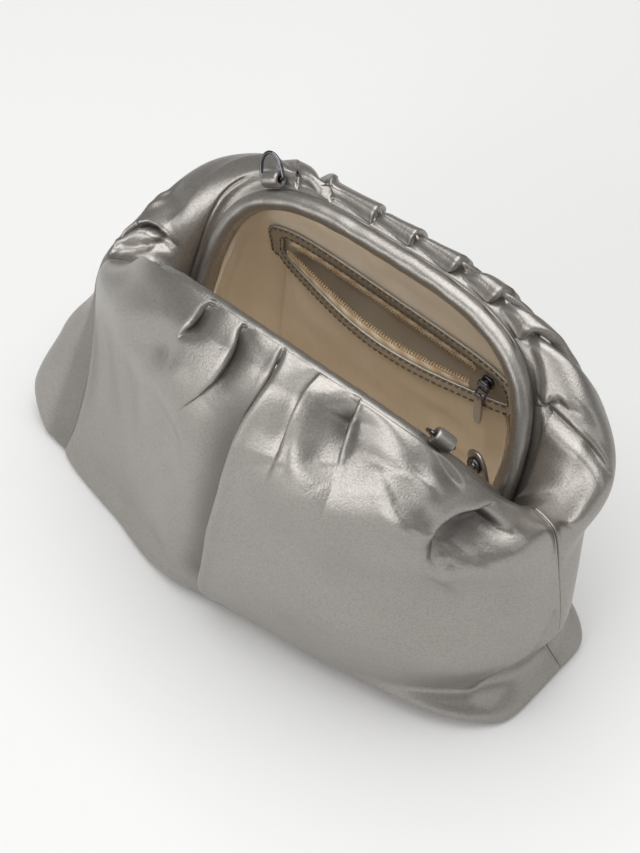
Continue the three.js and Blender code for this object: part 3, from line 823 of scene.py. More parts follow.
@dataclass(frozen=True)
class Gunmetal(Finish):
    """Zinc casting with polished gunmetal plating: dark mirror with faint polishing haze."""

    name: str = "gunmetal_plate"
    light: str = "#74747a"
    dark: str = "#5c5c62"
    rough: tuple[float, float] = (0.14, 0.26)
    haze_mm: float = 2.5

    def shade(self, tree: bpy.types.NodeTree) -> bpy.types.Node:
        """Builds the plating's shader.

        Args:
            tree: node tree of the material.

        Returns:
            The shader node.
        """
        place = add_node(tree, "ShaderNodeTexCoord").outputs["Object"]
        haze = add_node(tree, "ShaderNodeTexNoise",
                        {"Vector": place, "Scale": per_mm(self.haze_mm), "Detail": 4.0}).outputs[0]
        return add_node(tree, "ShaderNodeBsdfPrincipled",
                        {"Base Color": blended(tree, haze, self.dark, self.light), "Metallic": 1.0,
                         "Roughness": stretched(tree, haze, *self.rough, source=(0.3, 0.7))})


@dataclass(frozen=True)
class WaxedThread(Finish):
    """Waxed polyester sewing thread, dark grey: dull, with its twist as fine ribs."""

    name: str = "waxed_thread"
    light: str = "#746f68"
    dark: str = "#4c4843"
    rough: float = 0.55
    twist_mm: float = 0.5

    def shade(self, tree: bpy.types.NodeTree) -> bpy.types.Node:
        """Builds the thread's shader.

        Args:
            tree: node tree of the material.

        Returns:
            The shader node.
        """
        place = add_node(tree, "ShaderNodeTexCoord").outputs["Object"]
        twist = add_node(tree, "ShaderNodeTexNoise",
                         {"Vector": place, "Scale": per_mm(self.twist_mm)}).outputs[0]
        return add_node(tree, "ShaderNodeBsdfPrincipled",
                        {"Base Color": blended(tree, twist, self.dark, self.light),
                         "Roughness": self.rough})


LEATHER_FINISH = PewterLeather()
TRIM_FINISH = PewterLeather(name="pewter_foil_trim_leather", light="#c6c2ba", dark="#b6b2aa",
                            crease="#9a968e")
SATIN = ChampagneSatin()
TAPE = ZipTape()
COIL = ZipTape(name="nylon_zip_coil", light="#ead8ba", dark="#c8aa80", rib_mm=1.2, rough=0.5)
METAL = Gunmetal()
PULL_METAL = Gunmetal(name="bright_gunmetal_plate", light="#b8b8bb", dark="#a0a0a5")
THREAD = WaxedThread()


def place_piece(obj: bpy.types.Object, body: Rides, slot: Slot, *nodes: str) -> None:
    """Rides a piece on its body and hides the CAD nodes that it stands for.

    Args:
        obj: the piece.
        body: body that it moves with.
        slot: material slot of the record; not used.
        nodes: CAD nodes that it replaces.
    """
    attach(obj, body.value)
    if nodes:
        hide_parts(*nodes)
    LOG.info("%s: %d faces on %s", obj.name, len(obj.data.polygons), body.value)


# Leather body

# A pressed pleat is this much flatter and narrower than an open one
PRESSED_FLAT = 0.88
PRESSED_NARROW = 0.5
# Places of a fold's lip and slide beside its path and the width of the lip, in widths of the flank
LIP_PLACE = 1.8
LIP_WIDTH = 0.9
SLIDE_PLACE = 1.3


@dataclass(frozen=True)
class Fold:
    """A crease or ridge along a path on the flat leather.

    Across the path the leather drops to -depth at the path and comes back over the width of each
    flank, past a lip. A negative depth makes a ridge. lean slides the lip across the path, so that
    a flank hangs over the crease: above 0 the left flank, below 0 the right one. Left and right are
    as seen going along the path, with left towards smaller s on a path that runs down. The fold
    grows over fade_in of its path and dies away after fade_out. leads tells that the columns of the
    mesh run along it, and dark that shade is painted into it: the leather's colour darkens with
    the fold's depth.
    """

    path: tuple[tuple[float, float], ...]
    depth: float
    left: float
    right: float
    left_lip: float = 0.0
    right_lip: float = 0.0
    lean: float = 0.0
    fade_in: float = 0.0
    fade_out: float = 0.6
    leads: bool = False
    # Whether the fold gets painted shade: a darker colour with its depth
    dark: bool = False

    def nearest(self, s: Grid, t: Grid) -> tuple[Grid, Grid, Grid, Grid]:
        """Nearest place of the path on the flat leather.

        Args:
            s: share along the panel.
            t: length down the panel.

        Returns:
            Signed distance (above 0 on the right), share along the path, and the path's direction
            there along and down the panel.
        """
        points = np.array(self.path) * (PANEL_SPREAD, 1.0)
        total = lengths_along(points)
        best = np.full(s.shape, np.inf)
        signed, share, run_s, run_t = (np.zeros(s.shape) for _ in range(4))
        for start, stop, begun, ended in zip(points[:-1], points[1:], total[:-1], total[1:]):
            e_s, e_t = (stop - start) / (ended - begun)
            p_s, p_t = s * PANEL_SPREAD - start[0], t - start[1]
            q = np.clip(p_s * e_s + p_t * e_t, 0.0, ended - begun)
            d_s, d_t = p_s - q * e_s, p_t - q * e_t
            distance = np.hypot(d_s, d_t)
            closer = distance < best
            best = np.where(closer, distance, best)
            side = np.where(d_s * e_t - d_t * e_s < 0.0, -1.0, 1.0)
            signed = np.where(closer, side * distance, signed)
            share = np.where(closer, (begun + q) / total[-1], share)
            run_s, run_t = np.where(closer, e_s, run_s), np.where(closer, e_t, run_t)
        return signed, share, run_s, run_t

    def shift(self, s: Grid, t: Grid, pinch: Grid) -> tuple[Grid, Grid, Grid]:
        """Moves of the leather: out of the panel, along it and down it.

        Args:
            s: share along the panel.
            t: length down the panel.
            pinch: 1 where a pleat is pressed flat at the rim, 0 where it is open.

        Returns:
            Height, and slide along and down the panel, in mm.
        """
        signed, share, run_s, run_t = self.nearest(s, t)
        fade = (1.0 - smooth(self.fade_out, 1.0, share)) * (1.0 - PRESSED_FLAT * pinch)
        if self.fade_in > 0.0:
            fade = fade * smooth(0.0, self.fade_in, share)
        on_left = signed < 0.0
        flank = np.where(on_left, self.left, self.right) * (1.0 - PRESSED_NARROW * pinch)
        x = np.abs(signed) / flank
        lip = np.where(on_left, self.left_lip, self.right_lip)
        height = -self.depth * bell(x) + lip * bell((x - LIP_PLACE) / LIP_WIDTH)
        leaning = on_left if self.lean > 0.0 else ~on_left
        slide = self.lean * np.where(leaning, bell(x - SLIDE_PLACE), 0.0) * fade * (1.0 - pinch)
        return height * fade, slide * run_t, -slide * run_s


def pleat(path: tuple[tuple[float, float], ...], *shape: float, **fades: float) -> Fold:
    """Fold that the columns of the mesh run along and that has painted shade inside.

    Args:
        path: places along the panel and lengths down it.
        shape: depth, widths of the flanks, lips and lean, as Fold orders them.
        fades: fade_in and fade_out.

    Returns:
        The fold.
    """
    return Fold(path, *shape, leads=True, dark=True, **fades)


@dataclass(frozen=True)
class Gathers:
    """Lobes of leather between the pleats at the rim, each laid over the next like shingles.

    Every pleat has its place along the panel and the height of the lobe that ends there. A lobe
    rises from one pleat to the next and drops there at once, with its end slid over the next lobe.
    Down the panel it comes up to its full height, keeps it, and dies away.
    """

    pleats: tuple[tuple[float, float], ...]
    full: float = 8.0
    hold: float = 20.0
    end: float = 46.0
    drop: float = 1.3
    over: float = 1.0
    over_width: float = 1.6
    steepness: float = 1.3

    def shift(self, s: Grid, t: Grid) -> tuple[Grid, Grid]:
        """Height of the lobes and their slide along the panel.

        Args:
            s: share along the panel.
            t: length down the panel.

        Returns:
            Heights and slides, in mm.
        """
        places, heights = np.array(self.pleats).T
        i = np.clip(np.searchsorted(places, s), 1, len(places) - 1)
        width = places[i] - places[i - 1]
        q = np.clip((s - places[i - 1]) / width, 0.0, 1.0)
        edge = self.drop / (width * PANEL_SPREAD)
        inside = (s > places[0]) & (s < places[-1])
        level = np.where(inside, smooth(0.0, self.full, t) * (1.0 - smooth(self.hold, self.end, t)), 0.0)
        rise = heights[i] * q ** self.steepness * (1.0 - smooth(1.0 - edge, 1.0, q))
        slide = np.minimum(heights[i], 1.0) * bell((q - 1.0 + edge) / (self.over_width * edge))
        return level * rise, level * self.over * slide


BACK_GATHERS = Gathers(((0.25, 0.0), (0.318, 1.6), (0.374, 2.2), (0.45, 2.4), (0.52, 2.4), (0.595, 2.8),
                        (0.662, 3.2), (0.723, 3.2), (0.815, 2.6)))

FRONT_FOLDS = (
    # First pleat from the left and the valley that runs on from it
    pleat(((0.416, 9), (0.413, 15), (0.402, 19), (0.395, 24), (0.392, 31), (0.393, 36), (0.398, 42)),
          5.0, 1.1, 8.0, 0.1, 0.3, 3.0, fade_out=0.7),
    Fold(((0.402, 38), (0.382, 47), (0.353, 52), (0.312, 60), (0.26, 70)),
         4.0, 8.0, 8.0, 0.4, 1.6, fade_in=0.25, fade_out=0.5),
    # Second pleat
    pleat(((0.475, 9), (0.472, 14), (0.462, 18), (0.46, 24), (0.464, 31), (0.468, 40), (0.468, 47),
           (0.46, 56), (0.43, 74)), 5.0, 1.1, 9.0, 0.1, 0.3, 3.0, fade_out=0.5),
    # Third pleat: its pressed top, then the long fold down to the base
    Fold(((0.529, 9), (0.529, 19), (0.527, 33), (0.525, 46), (0.518, 65)),
         3.2, 1.3, 3.0, 0.4, 0.4, 2.4, fade_out=0.5),
    pleat(((0.529, 9), (0.529, 19), (0.527, 33), (0.525, 46), (0.518, 63), (0.503, 91), (0.484, 119),
           (0.475, 139), (0.467, 178), (0.465, 190)),
          6.4, 14.0, 2.0, 0.3, 1.4, -1.8, fade_in=0.3, fade_out=0.85),
    # Soft valley below the second pleat
    Fold(((0.43, 74), (0.39, 100), (0.35, 130)), 3.0, 14.0, 14.0, fade_in=0.3, fade_out=0.5),
    # Fourth pleat and the ridge beside it
    pleat(((0.592, 10), (0.587, 20), (0.579, 29), (0.577, 42), (0.578, 56), (0.565, 80)),
          2.4, 6.0, 1.5, 0.2, 0.9, -0.9, fade_out=0.5),
    Fold(((0.6, 12), (0.592, 26), (0.592, 38), (0.6, 52), (0.614, 64)),
         -2.0, 3.5, 7.0, fade_in=0.1, fade_out=0.75),
    # Puff in the form of a U: its bottom, its right limb and the dip inside its left limb
    Fold(((0.588, 46), (0.598, 57), (0.618, 66), (0.645, 70), (0.683, 67), (0.712, 61), (0.737, 53),
          (0.755, 44)), -7.2, 24.0, 13.0, fade_in=0.3, fade_out=0.75),
    Fold(((0.712, 64), (0.737, 55), (0.757, 44), (0.765, 34), (0.755, 24)),
         -3.0, 9.0, 9.0, fade_in=0.3, fade_out=0.7),
    Fold(((0.607, 24), (0.614, 40), (0.627, 60)), 1.6, 5.0, 6.0, fade_in=0.2, fade_out=0.7),
    # Fifth pleat and the hollow of the U beside it
    pleat(((0.65, 9), (0.647, 20), (0.642, 29), (0.642, 42), (0.646, 58)),
          4.4, 8.0, 1.5, 0.2, 1.1, -1.3, fade_out=0.4),
    Fold(((0.65, 18), (0.662, 32), (0.675, 44), (0.69, 52)), 5.0, 10.0, 13.0, fade_in=0.25, dark=True),
    # Dip below the front ring and the ridge under it
    Fold(((0.75, 11), (0.757, 18), (0.777, 24), (0.79, 29), (0.8, 36)),
         3.0, 6.0, 3.5, 0.0, 0.8, fade_in=0.2, fade_out=0.6),
    Fold(((0.8, 36), (0.772, 46), (0.752, 58), (0.748, 70)), -3.0, 10.0, 4.5, fade_in=0.3),
    # Deep curled fold at the right, the hollow behind it and the ridge from there to the seam
    pleat(((0.88, 31), (0.853, 36), (0.817, 43), (0.79, 48), (0.773, 56), (0.765, 65), (0.767, 73),
           (0.779, 80), (0.8, 84)), 6.0, 2.6, 13.0, 0.6, 0.0, 2.6, fade_in=0.25, fade_out=0.6),
    Fold(((0.88, 42), (0.85, 49), (0.82, 57), (0.8, 65), (0.79, 73)),
         7.0, 8.0, 12.0, fade_in=0.2, fade_out=0.5, dark=True),
    Fold(((0.765, 88), (0.8, 82), (0.85, 73), (0.907, 61), (0.985, 48)),
         -4.2, 16.0, 8.0, fade_in=0.15, fade_out=0.85),
    # Small curl beside the front ring's roll
    Fold(((0.77, 16), (0.784, 14), (0.8, 16), (0.812, 24)), -3.0, 3.4, 3.4, fade_in=0.2),
    # Soft valleys at the lower right and the fold from the seam to the base
    Fold(((0.74, 108), (0.805, 87), (0.865, 82), (0.933, 90)),
         2.6, 15.0, 11.0, 0.4, 0.6, fade_in=0.4, fade_out=0.5),
    Fold(((0.735, 140), (0.785, 116), (0.835, 102), (0.88, 98)),
         2.6, 18.0, 18.0, fade_in=0.4, fade_out=0.5),
    Fold(((0.998, 108), (0.977, 124), (0.952, 134), (0.925, 144), (0.872, 158), (0.832, 172),
          (0.79, 182)), 3.0, 3.0, 9.0, 0.9, 0.0, 1.0, fade_in=0.15, fade_out=0.7),
    # Broad dip down the left half
    Fold(((0.4, 66), (0.41, 110), (0.42, 150)), 2.0, 17.0, 17.0, fade_in=0.2, fade_out=0.6),
)

BACK_FOLDS = (
    # Pleats at the rim
    pleat(((0.318, 5), (0.312, 20), (0.295, 45), (0.28, 62)), 3.0, 5.0, 2.4, 0.4, 0.8, -0.8),
    pleat(((0.374, 5), (0.362, 18), (0.352, 32), (0.345, 55)), 4.0, 4.0, 2.0, 0.5, 1.0, -1.2),
    pleat(((0.45, 5), (0.45, 26), (0.455, 50), (0.46, 80)), 1.4, 1.1, 3.0, 0.2, 0.2, 0.8),
    pleat(((0.52, 5), (0.522, 24), (0.526, 50), (0.53, 100)), 1.4, 1.1, 3.0, 0.2, 0.2, 0.8),
    pleat(((0.594, 5), (0.606, 18), (0.614, 34), (0.62, 60)), 3.8, 1.8, 4.5, 0.6, 0.5, 1.6),
    pleat(((0.66, 5), (0.672, 18), (0.682, 34), (0.69, 60)), 4.0, 1.8, 4.5, 0.6, 0.5, 1.6),
    pleat(((0.722, 5), (0.726, 26), (0.734, 45), (0.74, 70)), 3.8, 1.8, 4.5, 0.6, 0.5, 1.6),
    pleat(((0.802, 5), (0.832, 16), (0.85, 28), (0.86, 60)), 3.4, 2.4, 5.0, 0.8, 0.5, 1.2),
    # Curl at the left seam: its crease, ridge and lower edge
    pleat(((0.042, 58), (0.052, 54), (0.07, 50), (0.076, 44), (0.072, 38), (0.058, 28), (0.048, 23)),
          4.0, 1.6, 4.0, 1.0, 1.0, 1.6, fade_in=0.12, fade_out=0.85),
    Fold(((0.02, 58), (0.035, 49), (0.06, 42), (0.055, 30)), -1.8, 3.5, 3.5, fade_in=0.2, fade_out=0.7),
    Fold(((0.012, 60), (0.013, 48), (0.028, 37), (0.038, 30), (0.045, 22)),
         2.6, 3.0, 2.4, 0.6, 0.6, fade_in=0.2, fade_out=0.8),
    # Ridge and valley at the left shoulder, and the thin crease along the tube
    Fold(((0.15, 60), (0.123, 54), (0.103, 48)), -1.8, 5.0, 6.0, fade_in=0.2, fade_out=0.6),
    Fold(((0.155, 58), (0.117, 38), (0.087, 25)), 2.2, 7.0, 7.0, fade_in=0.2, fade_out=0.6),
    Fold(((0.02, 8), (0.088, 9), (0.137, 12), (0.182, 14), (0.235, 13)), 0.9, 1.1, 1.1, fade_out=0.95),
    # Ridges at the right shoulder
    Fold(((0.992, 54), (0.927, 48), (0.877, 48), (0.832, 50)), -2.5, 8.0, 8.0, fade_in=0.15),
    Fold(((0.98, 6), (0.973, 21), (0.937, 30)), -2.0, 4.0, 4.0, fade_in=0.2),
    # Swell beside the left seam and the broad dip across the hidden side
    Fold(((0.03, 70), (0.045, 110), (0.04, 150)), -2.0, 9.0, 12.0, fade_in=0.2),
    Fold(((0.3, 110), (0.5, 122), (0.7, 108)), 3.5, 14.0, 14.0, 1.0, 1.5, fade_in=0.25),
)

FOLDS = {Side.FRONT: FRONT_FOLDS, Side.BACK: BACK_FOLDS}
# Lengths below the rim over which the folds of a panel grow
FOLDS_GROW = {Side.FRONT: (13.0, 20.0), Side.BACK: (2.0, 9.0)}
# Lengths below the rim over which its pressed pleats open
PLEATS_OPEN = {Side.FRONT: (14.0, 30.0), Side.BACK: (4.0, 14.0)}


@dataclass
class LeatherBody:
    """The two gathered leather panels, sewn together at the sides and under the base.

    Pairs are lengths over which something comes up or dies away, from and to, in mm.
    """

    columns: int = 340
    crowding: float = 6.0
    crowd_mm: float = 3.5
    rim_rows: int = 86
    rim_end: float = 84.0
    low_rows: int = 48
    base_rows: int = 6
    rim_meets: float = 9.0
    sewn_out: float = 0.1
    sewn_lift: float = 0.7
    dent_seed: int = 11
    dent_wide: float = 46.0
    dent_long: float = 60.0
    dent_height: float = 0.35
    dents_grow: tuple[float, float] = (15.0, 40.0)
    folds_from_seam: tuple[float, float] = (0.5, 6.0)
    folds_from_rim: tuple[float, float] = (1.0, 6.0)
    folds_end: tuple[float, float] = (182.0, 198.0)
    edge_roll: float = 0.25
    roll_at: float = 3.0
    roll_wide: float = 1.8
    groove: float = 0.8
    groove_wide: float = 1.2
    roll_grows: tuple[float, float] = (10.0, 30.0)
    roll_ends: tuple[float, float] = (186.0, 200.0)
    seam_gap: float = 0.06
    flat_size: tuple[float, float] = (0.36, 0.27)
    flat_area: float = 0.084

    def levels(self) -> Grid:
        """Levels of the rows down the panel, closer together in the gathers.

        Returns:
            Lengths down from the rim.
        """
        upper = np.linspace(0.0, self.rim_end, self.rim_rows)
        lower = np.linspace(self.rim_end, BASE_EDGE, self.low_rows + 1)[1:]
        return np.concatenate([upper, lower])

    def places(self, side: Side) -> Grid:
        """Places of the columns at each level: they run along the pleats and crowd together there.

        Args:
            side: front or back panel.

        Returns:
            Shares along the panel, (rows, columns).
        """
        level = self.levels()
        paths = [np.array(sorted(fold.path, key=lambda knot: knot[1])) for fold in FOLDS[side] if fold.leads]
        lines = np.stack([np.interp(level, path[:, 1], path[:, 0]) for path in paths])
        lines = lines[np.argsort(lines[:, 0])]
        tops = lines[:, 0]
        even = np.linspace(0.0, 1.0, FINE_PANEL)
        crowd = bell((even[:, None] - tops) * PANEL_SPREAD / self.crowd_mm).sum(axis=1)
        total = np.cumsum(1.0 + self.crowding * crowd)
        share = (total - total[0]) / (total[-1] - total[0])
        column = np.interp(np.linspace(0.0, 1.0, self.columns), share, even)
        knots = np.concatenate([[0.0], tops, [1.0]])
        hats = np.stack([np.interp(column, knots, row) for row in np.eye(len(knots))[1:-1]])
        return column + (lines - tops[:, None]).T @ hats

    def wall(self, side: Side) -> tuple[Grid, Grid]:
        """Outer face of a panel's wall: the smooth wall with its folds, puffs, dents and seam edges.

        Args:
            side: front or back panel.

        Returns:
            Points, (rows, columns, 3), and each point's depth in the dark folds, which sets the painted
            shade.
        """
        s = self.places(side)
        t = np.broadcast_to(self.levels()[:, None], s.shape)
        base = LEATHER_WALL.point(side, s, t)
        along, down, out = LEATHER_WALL.tangents(side, s, t)
        place, outward, across = arch(side, s[0])
        sewn = place + (TUBE_RADIUS + self.sewn_out) * unit(across + self.sewn_lift * outward)
        base = base + (1.0 - smooth(0.0, self.rim_meets, t))[..., None] * (sewn - base[0])
        height, slide_s, slide_t, hidden = (np.zeros(s.shape) for _ in range(4))
        if side is Side.BACK:
            height, slide_s = BACK_GATHERS.shift(s, t)
        ramp = smooth(*FOLDS_GROW[side], t)
        pinch = 1.0 - smooth(*PLEATS_OPEN[side], t)
        for fold in FOLDS[side]:
            lift, over_s, over_t = fold.shift(s, t, pinch)
            height = height + ramp * lift
            slide_s, slide_t = slide_s + ramp * over_s, slide_t + ramp * over_t
            # Painted shade: the depth of the dark folds is summed, to darken the leather's colour there
            hidden = hidden + fold.dark * ramp * np.maximum(-lift, 0.0)
        dents = soft_noise(s * PANEL_SPREAD / self.dent_wide, t / self.dent_long,
                           self.dent_seed + (side is Side.BACK))
        height = height + self.dent_height * dents * smooth(*self.dents_grow, t)
        from_left = lengths_along(base)
        near = np.minimum(from_left, from_left[:, -1:] - from_left)
        fade = smooth(*self.folds_from_seam, near) * smooth(*self.folds_from_rim, t)
        fade = fade * (1.0 - smooth(*self.folds_end, t))
        seam = bell((near - self.roll_at) / self.roll_wide) - self.groove * bell(near / self.groove_wide)
        seam = self.edge_roll * seam * smooth(*self.roll_grows, t) * (1.0 - smooth(*self.roll_ends, t))
        moved = base + out * (height * fade + seam)[..., None]
        moved = moved + (along * slide_s[..., None] + down * slide_t[..., None]) * fade[..., None]
        return moved, hidden * fade

    def outer(self, side: Side) -> tuple[Grid, Grid]:
        """Outer face of a whole panel: its wall, then straight rows under the base to the keel seam.

        Args:
            side: front or back panel.

        Returns:
            Points, (rows, columns, 3), none below the floor, and each point's depth in the dark folds, which
            sets the painted shade.
        """
        wall, depth = self.wall(side)
        hem = wall[-1]
        share = np.clip((hem[:, :1] - hem[0, 0]) / (hem[-1, 0] - hem[0, 0]), 0.0, 1.0)
        keel = mix(hem[0], hem[-1], share)
        q = np.linspace(0.0, 1.0, self.base_rows + 1)[1:, None, None]
        grid = np.concatenate([wall, mix(hem, keel, q)])
        grid[..., 2] = np.maximum(grid[..., 2], 0.0)
        return grid, np.pad(depth, ((0, self.base_rows), (0, 0)))

    def build(self) -> None:
        faces = {side: self.outer(side) for side in Side}
        normals = {side: side.outward * unit(np.cross(np.gradient(grid, axis=1), np.gradient(grid, axis=0)))
                   for side, (grid, _) in faces.items()}
        for seam in (0, -1):
            shared = unit(normals[Side.FRONT][:, seam] + normals[Side.BACK][:, seam])
            for side in Side:
                normals[side][:, seam] = shared
        for side, (grid, depth) in faces.items():
            normals[side][len(self.levels()):] = (0.0, 0.0, -1.0)
            self.panel(side, grid, normals[side], depth)

    def panel(self, side: Side, grid: Grid, normal: Grid, depth: Grid) -> None:
        """One panel: its outer face, its inner face one leather thickness in, and the edges between.

        Args:
            side: front or back panel.
            grid: outer points.
            normal: outward directions at them.
            depth: each point's depth in the dark folds, which sets the painted shade.
        """
        grid = grid.copy()
        grid[:, 0] += self.seam_gap * unit(grid[:, 1] - grid[:, 0])
        grid[:, -1] += self.seam_gap * unit(grid[:, -2] - grid[:, -1])
        grid[-1] += self.seam_gap * unit(grid[-2] - grid[-1])
        inner = grid - LEATHER * normal
        rows, columns = grid.shape[:2]
        flip = side is Side.FRONT
        # The fold depth goes into the map, where it sets the painted shade
        places = np.stack([depth, np.zeros(depth.shape)], axis=-1)
        shell = Shell().add(grid, flip=not flip, flat_map=places).add(inner, flip=flip, flat_map=places)
        edge = border(rows, columns)
        ring = edge if flip else edge[::-1]
        shell.bridge(ring + rows * columns, ring)
        obj = shell.piece(f"{side.value}_leather", LEATHER_FINISH)
        place_piece(obj, Rides.BAG, Slot.LEATHER, f"{side.value}_panel")


# Frame tubes, rings and their rolls

def arch(side: Side, s: Grid) -> tuple[Grid, Grid, Grid]:
    """Arch of one half of the frame: a superellipse over the hinge axis, in its tilted plane.

    Args:
        side: front or back half.
        s: share along the arch, from the left hinge to the right one.

    Returns:
        Places, directions out of the arch in its plane, and the direction across the plane.
    """
    s = np.asarray(s, float)
    c, sn = -np.cos(PI * s), np.sin(PI * s)
    r = superradius(c, sn, ARCH_SQUARE)
    up = np.array([0.0, side.outward * math.sin(side.tilt), math.cos(side.tilt)])
    across = np.array([0.0, side.outward * math.cos(side.tilt), -math.sin(side.tilt)])
    right = np.array([1.0, 0.0, 0.0])
    place = ((HINGE_HALF * r * c)[..., None] * right + (ARCH_RISE * r * sn)[..., None] * up
             + np.array([0.0, 0.0, HINGE_HEIGHT]))
    steep_x = np.sign(c) * np.abs(r * c) ** (ARCH_SQUARE - 1.0) / HINGE_HALF
    steep_up = np.abs(r * sn) ** (ARCH_SQUARE - 1.0) / ARCH_RISE
    return place, unit(steep_x[..., None] * right + steep_up[..., None] * up), across


@dataclass
class FrameHalf:
    """One half of the frame: a steel rod in a leather tunnel, which shows as a soft tube."""

    side: Side
    radius: float = TUBE_RADIUS
    stations: int = 260
    sides: int = 32
    start_front: float = 14.0
    start_back: float = 6.0
    pucker_seed: int = 31
    pucker_long: float = 14.0
    pucker_turn: float = 0.8
    pucker_height: float = 0.1
    drawn_in: float = 0.12

    def build(self) -> None:
        """Makes the tube: a circle carried along the arch, a little pinched by its sewing."""
        share = np.linspace(0.0, 1.0, FINE_ARCH)
        place, outward, across = arch(self.side, share)
        start = self.start_front if self.side is Side.FRONT else self.start_back
        inside = ARCH_RISE * superradius(np.cos(PI * share), np.sin(PI * share), ARCH_SQUARE)
        inside = inside * np.sin(PI * share) >= start
        path = spaced(place[inside], self.stations)
        run = lengths_along(path)
        lift = sampled(run, lengths_along(place[inside]), outward[inside])
        angle = full_turn(self.sides)[None, :]
        pucker = soft_noise(run[:, None] / self.pucker_long, np.cos(angle) * self.pucker_turn,
                            self.pucker_seed + (self.side is Side.BACK))
        size = self.radius - self.drawn_in + self.pucker_height * pucker
        ring = lift[:, None] * np.cos(angle)[..., None] + across * np.sin(angle)[..., None]
        grid = capped(path[:, None] + size[..., None] * ring)
        shell = Shell().add(grid, round_columns=True, flip=self.side is Side.BACK)
        obj = shell.piece(f"frame_tunnel_{self.side.value}", LEATHER_FINISH)
        place_piece(obj, Rides.BAG, Slot.LEATHER, f"frame_{self.side.value}")


@dataclass
class StrapRing:
    """A D-ring on its leather roll beside the frame tube."""

    side: Side
    body: Rides
    along: float
    rise: float
    inward: float
    hang: float
    bar_half: float = 6.4
    bar: float = 5.8
    reach: float = 12.5
    shoulder: float = 1.2
    bow_power: float = 0.9
    wire: float = 0.95
    bow_points: int = 61
    bar_points: int = 20
    ring_points: int = 120
    wire_sides: int = 16
    roll_radius: float = 4.1
    roll_hole: float = 1.6
    roll_half: float = 4.8
    roll_square: float = 4.0
    roll_points: int = 28
    roll_turns: int = 48

    def seat(self) -> tuple[Grid, Grid, Grid, Grid]:
        """Where the ring sits beside the tube.

        Returns:
            Middle of the ring's bar, the bar's direction, the way the ring reaches and its normal.
        """
        place, outward, across = arch(self.side, np.array(self.along))
        centre = place + self.rise * outward - self.inward * across
        axis = unit(np.cross(outward, across))
        reach = self.hang * outward
        return centre, axis, reach, unit(np.cross(axis, reach))

    def ring(self) -> None:
        """D-shaped ring of round wire: a straight bar and a bow of sine form, as one closed tube."""
        centre, axis, reach, normal = self.seat()
        angle = np.linspace(0.0, PI, self.bow_points)
        rise = self.shoulder + (self.reach - self.shoulder) * np.sin(angle) ** self.bow_power
        bow = np.stack([self.bar_half * np.cos(angle), rise], axis=-1)
        bar = np.linspace((-self.bar, 0.0), (self.bar, 0.0), self.bar_points)
        flat = np.concatenate([bar, bow])
        path = centre + flat[:, :1] * axis + flat[:, 1:] * reach
        path = spaced(path, self.ring_points, closed=True)
        grid = tube(path, normal, self.wire, self.wire_sides, closed=True)
        obj = Shell().add(grid, round_columns=True, round_rows=True).piece(
            f"strap_ring_{self.side.value}", METAL)
        place_piece(obj, self.body, Slot.METAL, f"ring_{self.side.value}")

    def roll(self) -> None:
        """Leather roll: a short thick tube with rounded ends, turned about the ring's bar."""
        centre, axis, reach, normal = self.seat()
        middle = 0.5 * (self.roll_radius + self.roll_hole)
        thick = 0.5 * (self.roll_radius - self.roll_hole)
        x, y = squared_circle(self.roll_points, self.roll_square)
        along, radius = self.roll_half * x, middle + thick * y
        angle = full_turn(self.roll_turns)[:, None, None]
        spoke = np.cos(angle) * reach + np.sin(angle) * normal
        grid = centre + along[None, :, None] * axis + radius[None, :, None] * spoke
        obj = Shell().add(grid, round_columns=True, round_rows=True).piece(
            f"ring_roll_leather_{self.side.value}", LEATHER_FINISH)
        place_piece(obj, Rides.BAG, Slot.LEATHER, f"ring_roll_{self.side.value}")

    def build(self) -> None:
        """Makes the ring and its roll."""
        self.ring()
        self.roll()


# Lining and zip pocket

